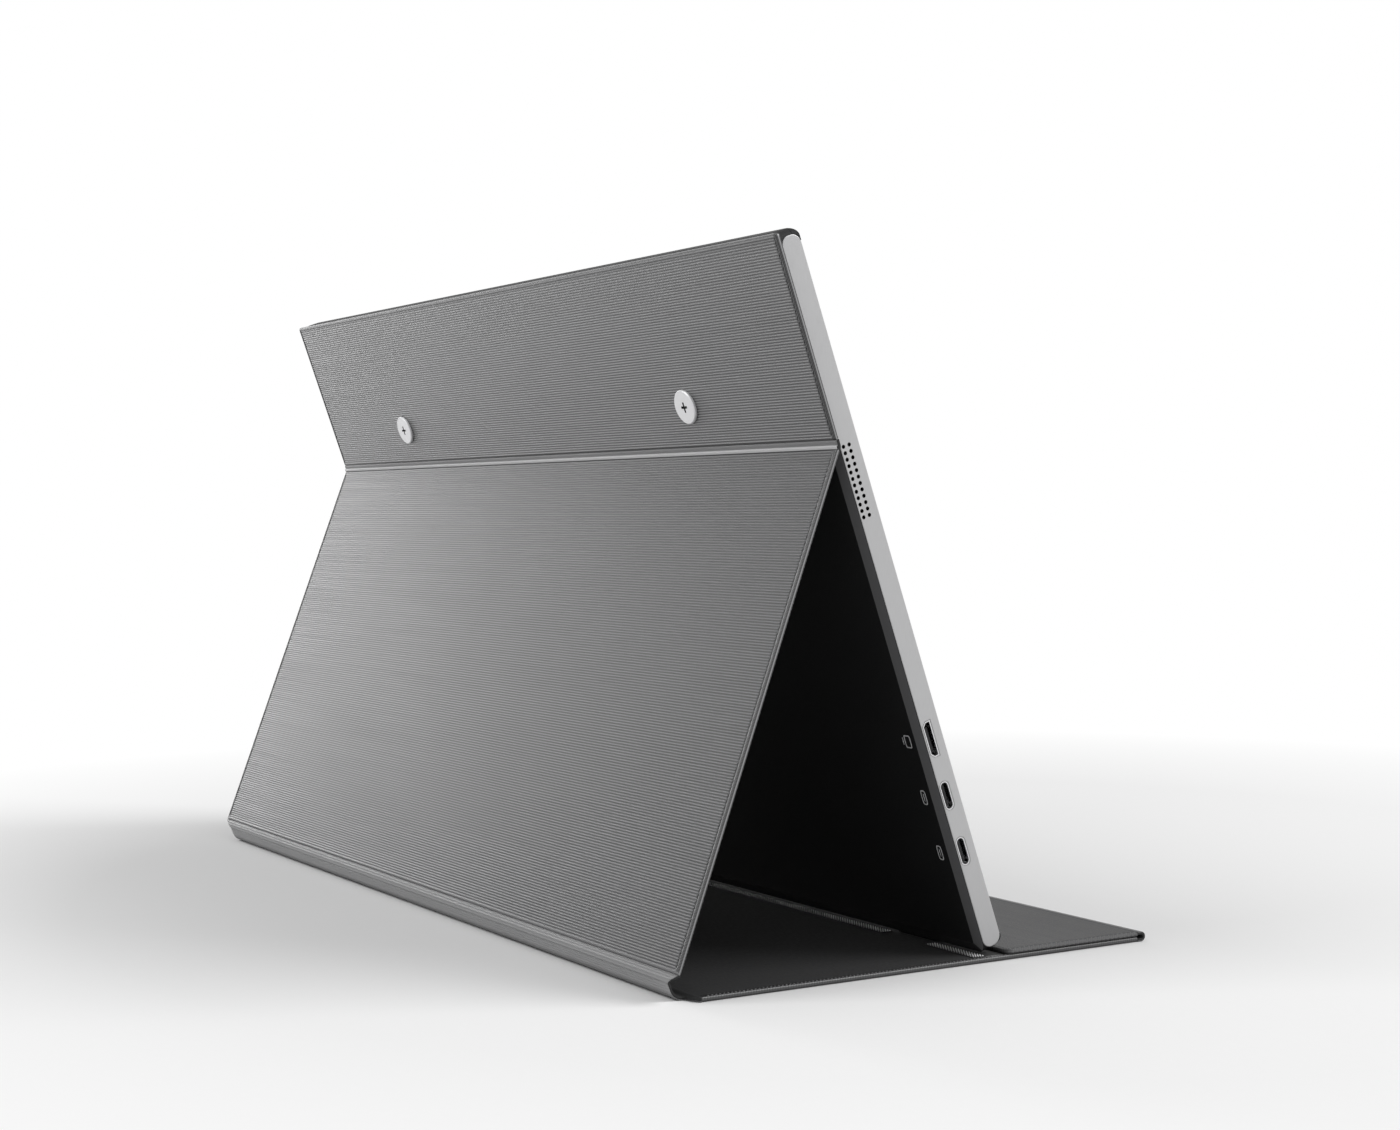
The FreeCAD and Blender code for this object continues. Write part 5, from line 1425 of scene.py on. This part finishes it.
    def crease(self) -> None:
        """Crease between the upper panel and the leg, with a low bead along its axis.

        The bead's height is a squared cosine over the fold's gap on either side of the axis, and the
        bead is painted lighter as a highlight.
        """
        axis = self.spot("leg_fold")
        up = self.layout.slab_up[1:]
        down = -self.layout.leg_up[1:]
        centre = self.folded(axis, up, down, self.crease_knee, self.crease_counts)
        run = np.linalg.norm(centre - centre[0], axis=1)
        share = np.clip((run - self.web) / self.fold_gap, -1.0, 1.0)
        swell = self.bead * np.cos(0.5 * math.pi * share) ** 2
        depth, width = self.crease_dip
        outer = offset_run(centre, self.panel / 2.0 + swell - depth * hump(run, 0.0, width))
        inner = offset_run(centre, -self.panel / 2.0)
        # painted highlight on the crease bead
        light = ease(swell / self.bead, 0.0, self.bead_highlight_edge)
        pieces = self.pair("crease", outer, inner, FOLD_CLOTH, crest=light)
        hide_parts("crease_fold")
        self.bend(pieces, ("monitor", "leg"), axis, up, down)

    def spine_down(self) -> np.ndarray:
        """Direction down the spine's flange, from the leg's seam."""
        lean = math.radians(self.spine_lean_deg)
        return np.array((-math.sin(lean), -math.cos(lean)))

    def spine_centre(self) -> np.ndarray:
        """Middle of the spine's bend: one radius over the floor, ahead of the flange's foot.

        Returns:
            The place in the YZ plane.
        """
        lean = math.radians(self.spine_lean_deg)
        seam = self.spot("spine_fold")
        middle = self.spine_radius - self.spine_thickness / 2.0
        rise = (seam[1] - self.spine_radius + middle * math.sin(lean)) / math.cos(lean)
        ahead = middle * math.cos(lean) + rise * math.sin(lean)
        return np.array((seam[0] - ahead, self.spine_radius))

    def leg_hem(self) -> None:
        """Lower end of the leg, which turns in to the spine's flange, its ends scooped in."""
        axis = self.spot("spine_fold")
        up = self.layout.leg_up[1:]
        down = self.spine_down()
        centre = self.folded(axis, up, down, self.hem_knee, self.hem_counts)
        run = run_length(centre)
        last = float(run[-1])
        thin = (self.panel - self.spine_thickness) / 2.0
        half = self.panel / 2.0 - thin * ease(run, self.hem_thins_from, last)
        depth, width = self.hem_dip
        outer = offset_run(centre, half - depth * hump(run, 0.0, width) - self.ridges(run))
        inset = self.scoop * ease(run, -self.scoop_past, last + self.scoop_past)
        # painted highlight on the hem below its seam line
        light = self.fold_highlight * ease(run, *self.hem_highlight_span)
        pieces = self.pair("leg_hem", outer, offset_run(centre, -half), FOLD_CLOTH, inset, light)
        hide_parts("leg_hem")
        self.bend(pieces, ("leg", "spine"), axis, up, down)

    def spine(self) -> None:
        """Flange below the leg's seam and a bend down to the floor, with long ridges outside.

        The outer line stands half the thickness off the middle line, less half a cosine for
        each ridge. The ridges and the painted highlight fade towards the floor, where the bend is in
        shade.
        """
        down = self.spine_down()
        start = self.spot("spine_fold") + down * self.fold_gap
        middle = self.spine_radius - self.spine_thickness / 2.0
        flange, bend = self.spine_counts
        arc = arc_run(self.spine_centre(), middle, -self.spine_lean_deg, -90.0, bend)
        centre = np.concatenate([line_run(start, arc[0], flange)[:-1], arc])
        run = run_length(centre)
        half = self.spine_thickness / 2.0
        # painted highlight on the spine's upper part, fading towards the floor, where the bend is in
        # shade
        light = 1.0 - ease(run, *self.spine_highlight_fade)
        ridges = self.ridges(run) * (self.low_ridges + (1.0 - self.low_ridges) * light)
        outer = offset_run(centre, half - ridges)
        seam = offset_run(centre, half - self.skin_share * self.spine_thickness)
        inner = offset_run(centre, -half)
        skin = self.strip("spine_strip", outer, seam, (FOLD_CLOTH, "fold_fabric"), self.scoop,
                          self.fold_highlight * light)
        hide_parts("spine_skin")
        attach(skin, "spine")
        lining = self.strip("spine_inner_strip", seam, inner, (LINING_CLOTH, "lining_fabric"),
                            self.scoop)
        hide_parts("spine_lining")
        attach(lining, "spine")

    def base_hem(self) -> None:
        """Flat strip under the spine's foot, which thickens into the base panel."""
        axis = self.spot("base_fold")
        start = self.spine_centre()[0]
        y = np.linspace(start, axis[0] - self.web, self.base_count)
        rise = ease(start - y, *self.base_rise)
        top = self.spine_thickness + (self.panel - self.spine_thickness) * rise
        outer = np.stack([y, 0.0 * y], axis=1)
        inner = np.stack([y, top], axis=1)
        last = float(start - y[-1]) - self.base_clear
        inset = self.scoop * (1.0 - ease(start - y, 0.0, last))
        pieces = self.pair("base_hem", outer, inner, COVER_EDGE, inset)
        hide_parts("base_hem")
        self.bend(pieces, ("spine", "base"), axis, np.array((1.0, 0.0)), np.array((-1.0, 0.0)))

    def roll_line(self, axis: np.ndarray, tail: float, distance: float) -> np.ndarray:
        """Tail under the base, half circle round the axis, and tail over the flap.

        Args:
            axis: the roll's middle.
            tail: how far both tails reach back along Y.
            distance: the line's distance from the axis.

        Returns:
            The places, one row each.
        """
        low = axis + np.array((0.0, -distance))
        high = axis + np.array((0.0, distance))
        back = np.array((tail, 0.0))
        straight, bend = self.roll_counts
        return np.concatenate([
            line_run(low + back, low, straight)[:-1],
            arc_run(axis, distance, -90.0, -270.0, bend),
            line_run(high, high + back, straight)[1:],
        ])

    def front_roll(self) -> None:
        """Half roll from the base's front edge up and back to the flap's."""
        axis = self.spot("flap_fold")
        radius = axis[1]
        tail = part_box("base_skin")[0].y - axis[0]
        outer = self.roll_line(axis, tail, radius)
        seam = self.roll_line(axis, tail, radius - self.roll_skin)
        inner = self.roll_line(axis, tail, radius - self.roll_skin - self.roll_lining)
        cloth = self.strip("front_roll_cloth", outer, seam, (COVER_EDGE, "fold_fabric"))
        lining = self.strip("front_roll_inner_cloth", seam, inner, (LINING_CLOTH, "lining_fabric"))
        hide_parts("front_roll")
        for piece in (cloth, lining):
            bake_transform(piece)

    def build(self) -> None:
        """Makes every fold."""
        self.crease()
        self.leg_hem()
        self.spine()
        self.base_hem()
        self.front_roll()


@dataclass
class GripStrips:
    """Cross-ribbed strips on the base that stop the slab's lower edge.

    The rib shade fade is where the ribs start and end to be painted darker, as painted shade under the
    slab's lower edge, as shares of the strip's depth.
    """

    layout: Layout
    plate_share: float = 0.45
    plate_steps: Pair = (10.0 * MM, 1.0 * MM)
    rib_pitch: float = 1.3 * MM
    rib_slant_deg: float = -34.6
    rib_radius: float = 0.24 * MM
    rib_shade_fade: Pair = (0.55, 1.3)
    shortest_rib: float = 0.96 * MM
    end_gap: float = 0.35 * MM
    edge_round: float = 0.2 * MM
    rim: Steps = tuple(MM * d for d in (0, 0.02, 0.07, 0.13, 0.2))
    digits: int = 5

    def spans(self) -> list[Pair]:
        """First and last X of each strip, which are all the X that its solid's points have."""
        x = np.unique(np.round(self.layout.points("grip_strips")[:, 0], self.digits))
        return list(zip(x[0::2].tolist(), x[1::2].tolist()))

    def plate(self, plane: PlaneFrame, span: Pair, size: Pair) -> Surface:
        """Thin plate with a quarter circle round its rim, painted dark all over as shade under the slab.

        Args:
            plane: the strips' lower front corner.
            span: first and last X.
            size: the strip's depth and its height with ribs.

        Returns:
            The closed plate.
        """
        low, high = span
        depth, height = size
        across = edged_steps(high - low, self.rim, self.plate_steps[0]) + low
        along = edged_steps(depth, self.rim, self.plate_steps[1])
        s, x = np.meshgrid(along, across, indexing="ij")
        rim = rounded_rim((x - low, high - x, s, depth - s), self.edge_round)
        half = self.plate_share * height / 2.0
        # painted shade over the whole plate
        dark = np.ones_like(s)
        return two_sheets(plane, x, s, half * (1.0 + rim), half * (1.0 - rim), {"painted_shade": (dark, dark)})

    def ribs(self, plane: PlaneFrame, span: Pair, size: Pair) -> Surface:
        """Straight slanted bars across the plate, cut at the plate's ends, painted darker backwards as
        shade under the slab.

        Args:
            plane: the strips' lower front corner.
            span: first and last X.
            size: the strip's depth and its height with ribs.

        Returns:
            All the bars.
        """
        low, high = span
        depth, height = size
        slant = math.radians(self.rib_slant_deg)
        unit = np.array((math.cos(slant), math.sin(slant)))
        half = (depth / 2.0 - self.end_gap) / abs(unit[1])
        reach = half * unit[0]
        middle = np.arange(low - reach, high + reach, self.rib_pitch)
        first = np.clip((low + self.end_gap - middle) / unit[0], -half, half)
        last = np.clip((high - self.end_gap - middle) / unit[0], -half, half)
        kept = last - first > self.shortest_rib
        centres = np.stack([middle, np.full_like(middle, depth / 2.0)], axis=1)[kept]
        bars = capsules(plane, centres + first[kept, None] * unit, centres + last[kept, None] * unit,
                        self.rib_radius, height - self.rib_radius)
        # painted shade: the ribs darken towards the back, under the slab
        bars.values["painted_shade"] = ease(bars.places[:, 1] / depth, *self.rib_shade_fade)
        return bars

    def one(self, low: float, high: float) -> list[Surface]:
        """One strip.

        Args:
            low: first X.
            high: last X.

        Returns:
            The plate and the ribs.
        """
        corner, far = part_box("grip_strips")
        plane = PlaneFrame(np.array((0.0, corner.y, corner.z)), BACK, UP)
        size = (far.y - corner.y, far.z - corner.z)
        return [self.plate(plane, (low, high), size), self.ribs(plane, (low, high), size)]

    def build(self) -> None:
        """Makes the strips as one piece on the base."""
        strips = Surface.joined([part for low, high in self.spans() for part in self.one(low, high)])
        piece = strips.to_object("grip_ribs", GRIP_RUBBER)
        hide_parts("grip_strips")
        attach(piece, "base")


@dataclass
class PortMarks:
    """Plain printed signs beside the sockets, on the slab's back."""

    layout: Layout
    edge_inset: float = 7.0 * MM
    line: float = 0.38 * MM
    ink: float = 0.04 * MM
    lift: float = 0.01 * MM
    ring_count: int = 48
    bar_count: int = 4
    screen_half: Pair = (1.5 * MM, 2.1 * MM)
    screen_power: float = 6.0
    stand_past: float = 2.3 * MM
    stand_half: Pair = (0.2 * MM, 1.2 * MM)
    plug_half: Pair = (1.2 * MM, 2.4 * MM)
    plug_power: float = 4.0
    tongue_half: Pair = (0.2 * MM, 1.3 * MM)

    def plane(self) -> PlaneFrame:
        """The slab's rear face.

        Returns:
            A plane just off the face, along the slab's height.
        """
        seat = self.layout.seat("rear_shell", self.layout.slab_up, self.layout.slab_out)
        origin = seat.plane.origin + self.layout.slab_out * (seat.thickness + self.lift)
        return PlaneFrame(origin, self.layout.slab_up, self.layout.slab_out)

    def ring(self, plane: PlaneFrame, middle: Pair, half: Pair, power: float) -> Surface:
        """Outline |x/a|^p + |s/b|^p = 1 drawn with a flat pen.

        Args:
            plane: the face.
            middle: the outline's middle, across and along.
            half: half sizes a and b.
            power: 2 for an oval, higher for a rounded box.

        Returns:
            The closed line of ink.
        """
        angle = round_angles(self.ring_count)
        cos = np.sign(np.cos(angle)) * np.abs(np.cos(angle)) ** (2.0 / power)
        sin = np.sign(np.sin(angle)) * np.abs(np.sin(angle)) ** (2.0 / power)
        pen = np.array((0.0, 0.0, -self.line, -self.line))[:, None]
        height = np.array((0.0, self.ink, self.ink, 0.0))[:, None] + 0.0 * angle
        x = middle[0] + (half[0] + pen) * cos
        s = middle[1] + (half[1] + pen) * sin
        index = np.arange(x.size).reshape(x.shape)
        around = np.concatenate([index, index[:1]], axis=0)
        quads = sheet_quads(closed(around), plane.left_handed)
        points = plane.place(x, s, height).reshape(-1, 3)
        return Surface(points, quads, np.stack([x, s], -1).reshape(-1, 2))

    def bar(self, plane: PlaneFrame, middle: Pair, half: Pair) -> Surface:
        """Flat dash of ink between two corners.

        Args:
            plane: the face.
            middle: the dash's middle, across and along.
            half: half sizes.

        Returns:
            The closed dash.
        """
        across, along = (np.linspace(-size, size, self.bar_count) for size in half)
        s, x = np.meshgrid(along, across, indexing="ij")
        inside = np.zeros_like(x)
        inside[1:-1, 1:-1] = 1.0
        return two_sheets(plane, x + middle[0], s + middle[1], self.ink * inside, 0.0 * inside, {})

    def build(self) -> None:
        """Draws a small screen by the wide socket and a plug outline by the other two."""
        plane = self.plane()
        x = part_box("port_rail")[0].x + self.edge_inset
        parts = []
        for node in ("video_socket", "upper_usb_socket", "lower_usb_socket"):
            span = self.layout.points(node) @ self.layout.slab_up
            s = midway(span) - float(plane.origin @ self.layout.slab_up)
            if node == "video_socket":
                parts.append(self.ring(plane, (x, s), self.screen_half, self.screen_power))
                parts.append(self.bar(plane, (x + self.stand_past, s), self.stand_half))
            else:
                parts.append(self.ring(plane, (x, s), self.plug_half, self.plug_power))
                parts.append(self.bar(plane, (x, s), self.tongue_half))
        marks = Surface.joined(parts).to_object("port_marks", MARK_INK)
        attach(marks, "monitor")


@dataclass
class Slab:
    """The slab's own pieces, whose solids are right and only need their finishes.

    A turn is how much a face looks one way, from 0 for edge on to 1 for straight.
    """

    layout: Layout
    slots: dict[str, str]
    # which faces get the chamfer's painted light, and how far it is taken off faces that look up or down
    rim_turn: Pair = (0.5, 0.985)
    end_turn: Pair = (0.1, 0.3)
    dark_ends: float = 0.97
    cross_reach: float = 2.0 * MM
    cross_depth: float = 0.1 * MM
    hole_turn: float = 0.5
    hole_reach: float = 2.6 * MM
    end_clear: float = 12.0 * MM

    def faces(self, node: str) -> tuple[np.ndarray, np.ndarray]:
        """Middles and normals of a node's faces.

        Args:
            node: the node's name.

        Returns:
            The middles and the normals, one row for each face.
        """
        polygons = self.layout.nodes[node].data.polygons
        middles = np.empty(3 * len(polygons), np.float32)
        normals = np.empty(3 * len(polygons), np.float32)
        polygons.foreach_get("center", middles)
        polygons.foreach_get("normal", normals)
        return middles.reshape(-1, 3), normals.reshape(-1, 3)

    def mark(self, node: str, name: str, chosen: np.ndarray) -> None:
        """Writes a face value that its finish reads as a second tone of painted light or shade.

        Args:
            node: the node's name.
            name: the value's name.
            chosen: each face's share of the second tone.
        """
        attribute = self.layout.nodes[node].data.attributes.new(name, "FLOAT", "FACE")
        attribute.data.foreach_set("value", chosen.astype(np.float32))

    def paint_rim_light(self) -> None:
        """Painted light on the chamfer round the shell's back: faces turned a little away are coloured
        lighter than the black back, less so above and below.
        """
        normals = self.faces("rear_shell")[1]
        turn = normals @ self.layout.slab_out
        level = 1.0 - self.dark_ends * ease(np.abs(normals @ self.layout.slab_up), *self.end_turn)
        least, most = self.rim_turn
        self.mark("rear_shell", "rim", level * ((turn > least) & (turn < most)))

    def paint_cross_shade(self) -> None:
        """Painted shade in the driver crosses: faces below a screw head's top, near the head's middle.
        """
        middles = self.faces("cover_screws")[0]
        points = self.layout.points("cover_screws")
        height = middles @ self.layout.slab_out
        up = self.layout.slab_up
        chosen = np.zeros(len(middles), dtype=bool)
        for side in (-1.0, 1.0):
            head = points[points[:, 0] * side > 0.0]
            radius = np.hypot(middles[:, 0] - midway(head[:, 0]), middles @ up - midway(head @ up))
            chosen |= radius < self.cross_reach
        top = float((points @ self.layout.slab_out).max())
        self.mark("cover_screws", "slot", chosen & (height < top - self.cross_depth))

    def paint_hole_shade(self) -> None:
        """Painted shade in the grille holes: faces turned off X along a rail's middle line, in the
        rail's upper half.
        """
        for rail in ("port_rail", "button_rail"):
            middles, normals = self.faces(rail)
            out = middles @ self.layout.slab_out
            up = middles @ self.layout.slab_up
            inside = np.abs(out - midway(out)) < self.hole_reach
            upper = (up > midway(up)) & (up < up.max() - self.end_clear)
            turned = np.abs(normals[:, 0]) < self.hole_turn
            self.mark(rail, "hole_shade", inside & upper & turned)

    def build(self) -> None:
        """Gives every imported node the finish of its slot."""
        self.paint_rim_light()
        self.paint_cross_shade()
        self.paint_hole_shade()
        for name, node in self.layout.nodes.items():
            finish = SLOT_FINISHES[self.slots[name]]
            node.data.materials.clear()
            node.data.materials.append(finish.material())
            LOG.info("%s: %s", name, finish.name)


@dataclass
class Cover:
    """The folding cover: four stiff panels, the folds between them and the grip strips."""

    layout: Layout
    flap_clear: float = 1.0 * MM

    def panels(self) -> list[StiffPanel]:
        """The four panels from the slab's back to the front flap.

        Returns:
            Upper panel, leg, base and flap.
        """
        layout = self.layout
        upper = layout.seat("upper_panel_skin", layout.slab_up, layout.slab_out)
        leg = layout.seat("leg_skin", layout.leg_up, layout.leg_out)
        base = layout.seat("base_skin", BACK, -UP)
        flap = layout.seat("flap_skin", BACK, UP)
        return [
            StiffPanel("upper_panel", "monitor", upper, UPPER_CLOTH_PAINTED_LIGHTER, free=(PanelEdge.HIGH,),
                       groove_in=1.5 * MM, sewn_hem=False),
            StiffPanel("leg", "leg", leg, butted=(PanelEdge.HIGH,), lipped=(PanelEdge.LOW,),
                       sewn_inside=True, proud_from=leg.length),
            StiffPanel("base", "base", base, butted=(PanelEdge.LOW, PanelEdge.HIGH), sewn_inside=True,
                       proud_from=flap.length + self.flap_clear, end_share=0.15),
            StiffPanel("flap", "flap", flap, FLAP_CLOTH_PAINTED_DARKER, free=(PanelEdge.HIGH,), butted=(PanelEdge.LOW,),
                       corner=2.8 * MM, groove_in=1.2 * MM, sewn_ends=True, end_share=0.3),
        ]

    def build(self) -> None:
        """Makes the panels, the folds and the strips."""
        panels = self.panels()
        for panel in panels:
            panel.build()
        seat = panels[0].seat
        CoverFolds(self.layout, seat.half_width, seat.thickness).build()
        GripStrips(self.layout).build()


@dataclass(frozen=True)
class Softbox:
    """One soft lamp: where it stands, what it aims at, its size and its power."""

    name: str
    place: Steps
    aim: Steps
    size: Pair
    power: float


@dataclass
class Studio:
    """Pale floor, white surround, soft lamps and the camera."""

    camera_place: Steps = (-0.6864, 0.39203, 0.1342)
    yaw_deg: float = -31.79
    pitch_deg: float = -1.281
    lens: float = 55.65
    sensor: float = 36.0
    clip: Pair = (0.01, 60.0)
    floor_start: float = 0.05
    floor_reach: float = 9.0
    floor_rings: int = 24
    floor_sides: int = 64
    floor_drop: float = 0.05 * MM
    floor_tone: float = 0.84
    speck_scale: float = 300.0
    speck_share: float = 0.995
    fade: Pair = (0.3, 0.56)
    fade_centre: Steps = (-0.04, -0.1, 0.0)
    ambient: float = 0.42
    lamps: tuple[Softbox, ...] = (
        Softbox("back_lamp", (0.2, 1.5, 1.4), (0.0, 0.0, 0.1), (1.0, 1.0), 16.0),
        Softbox("front_lamp", (-1.0, -1.1, 1.5), (0.0, 0.0, 0.1), (1.0, 1.0), 24.0),
        Softbox("sheen_lamp", (1.9, 0.36, 0.46), (0.0, 0.05, 0.1), (0.6, 0.8), 7.5),
    )

    def camera(self) -> None:
        """Sets the camera by its turn from +X and its tilt from the level."""
        yaw = math.radians(self.yaw_deg)
        pitch = math.radians(self.pitch_deg)
        level = math.cos(pitch)
        forward = Vector((level * math.cos(yaw), level * math.sin(yaw), math.sin(pitch)))
        data = bpy.data.cameras.new("camera")
        data.sensor_fit = "HORIZONTAL"
        data.sensor_width = self.sensor
        data.lens = self.lens
        data.clip_start, data.clip_end = self.clip
        camera = bpy.data.objects.new("camera", data)
        camera.location = self.camera_place
        camera.rotation_euler = forward.to_track_quat("-Z", "Y").to_euler()
        bpy.context.scene.collection.objects.link(camera)
        bpy.context.scene.camera = camera

    def seen_directly(self, tree: bpy.types.NodeTree) -> Socket:
        """Socket that is 1 for camera, glossy and transmission rays.

        Args:
            tree: node tree that it is made in.

        Returns:
            The socket.
        """
        path = tree.nodes.new("ShaderNodeLightPath")
        total = path.outputs["Is Camera Ray"]
        for name in ("Is Glossy Ray", "Is Transmission Ray"):
            either = tree.nodes.new("ShaderNodeMath")
            either.operation = "MAXIMUM"
            tree.links.new(total, either.inputs[0])
            tree.links.new(path.outputs[name], either.inputs[1])
            total = either.outputs[0]
        return total

    def surround(self) -> None:
        """White surround where it is seen, and a softer one where it only lights."""
        world = bpy.data.worlds.new("surround")
        world.use_nodes = True
        tree = world.node_tree
        tree.nodes.clear()
        output = tree.nodes.new("ShaderNodeOutputWorld")
        shades = []
        for strength in (self.ambient, 1.0):
            shade = tree.nodes.new("ShaderNodeBackground")
            shade.inputs["Color"].default_value = WHITE
            shade.inputs["Strength"].default_value = strength
            shades.append(shade)
        mix = tree.nodes.new("ShaderNodeMixShader")
        tree.links.new(self.seen_directly(tree), mix.inputs[0])
        tree.links.new(shades[0].outputs[0], mix.inputs[1])
        tree.links.new(shades[1].outputs[0], mix.inputs[2])
        tree.links.new(mix.outputs[0], output.inputs["Surface"])
        bpy.context.scene.world = world

    def floor(self) -> None:
        """Round floor: rings of growing radius about the origin, fading to white far out."""
        radius = np.geomspace(self.floor_start, self.floor_reach, self.floor_rings)[:, None]
        angle = round_angles(self.floor_sides)
        x = radius * np.cos(angle)
        y = radius * np.sin(angle)
        points = np.stack([x, y, np.full_like(x, -self.floor_drop)], axis=-1).reshape(-1, 3)
        index = np.arange(x.size).reshape(x.shape)
        mesh = bpy.data.meshes.new("floor")
        faces = sheet_quads(closed(index), True).tolist() + [index[0].tolist()]
        mesh.from_pydata(points.tolist(), [], faces)
        mesh.materials.append(self.floor_material())
        floor = bpy.data.objects.new("floor", mesh)
        bpy.context.scene.collection.objects.link(floor)

    def floor_material(self) -> bpy.types.Material:
        """Matte pale floor that keeps shadows near the object and turns white far out.

        Returns:
            The finished material.
        """
        desk = Desk("pale_floor")
        coords = desk.coords(Coords.OBJECT)
        apart = desk.node("VectorMath", {0: coords, 1: self.fade_centre}, operation="DISTANCE")
        far = desk.spread(apart.outputs["Value"], 0.0, 1.0, *self.fade)
        share = desk.maths("MULTIPLY", far, self.seen_directly(desk.tree))
        speck = desk.spread(desk.noise(coords, self.speck_scale), 0.0, 1.0)
        pale = (self.floor_tone,) * 3
        colour = desk.mix(speck, tint(pale, self.speck_share), tint(pale))
        matte = desk.node("BsdfDiffuse", {"Color": colour})
        white = desk.node("Emission", {"Color": WHITE, "Strength": 1.0})
        mix = desk.node("MixShader", {0: share, 1: matte.outputs[0], 2: white.outputs[0]})
        desk.tree.links.new(mix.outputs[0], desk.output.inputs["Surface"])
        return desk.material

    def lights(self) -> None:
        """Sets each soft lamp, turned to what it aims at."""
        for lamp in self.lamps:
            data = bpy.data.lights.new(lamp.name, "AREA")
            data.shape = "RECTANGLE"
            data.size, data.size_y = lamp.size
            data.energy = lamp.power
            light = bpy.data.objects.new(lamp.name, data)
            light.location = lamp.place
            aim = Vector(lamp.aim) - Vector(lamp.place)
            light.rotation_euler = aim.to_track_quat("-Z", "Y").to_euler()
            bpy.context.scene.collection.objects.link(light)

    def build(self) -> None:
        """Makes the whole studio."""
        self.camera()
        self.surround()
        self.floor()
        self.lights()
        bpy.context.scene.view_settings.view_transform = "Standard"


def main() -> None:
    """Loads the frame and builds the slab, the cover, the marks and the studio in order."""
    logging.basicConfig(level=logging.INFO, format="%(name)s: %(message)s")
    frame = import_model()
    layout = Layout(frame["nodes"], {joint["name"]: joint for joint in frame["joints"]})
    slots = {row["node"]: row["material_slot"] for row in frame["record"]["subparts"]}
    Slab(layout, slots).build()
    Cover(layout).build()
    PortMarks(layout).build()
    Studio().build()


if __name__ == "__main__":
    main()
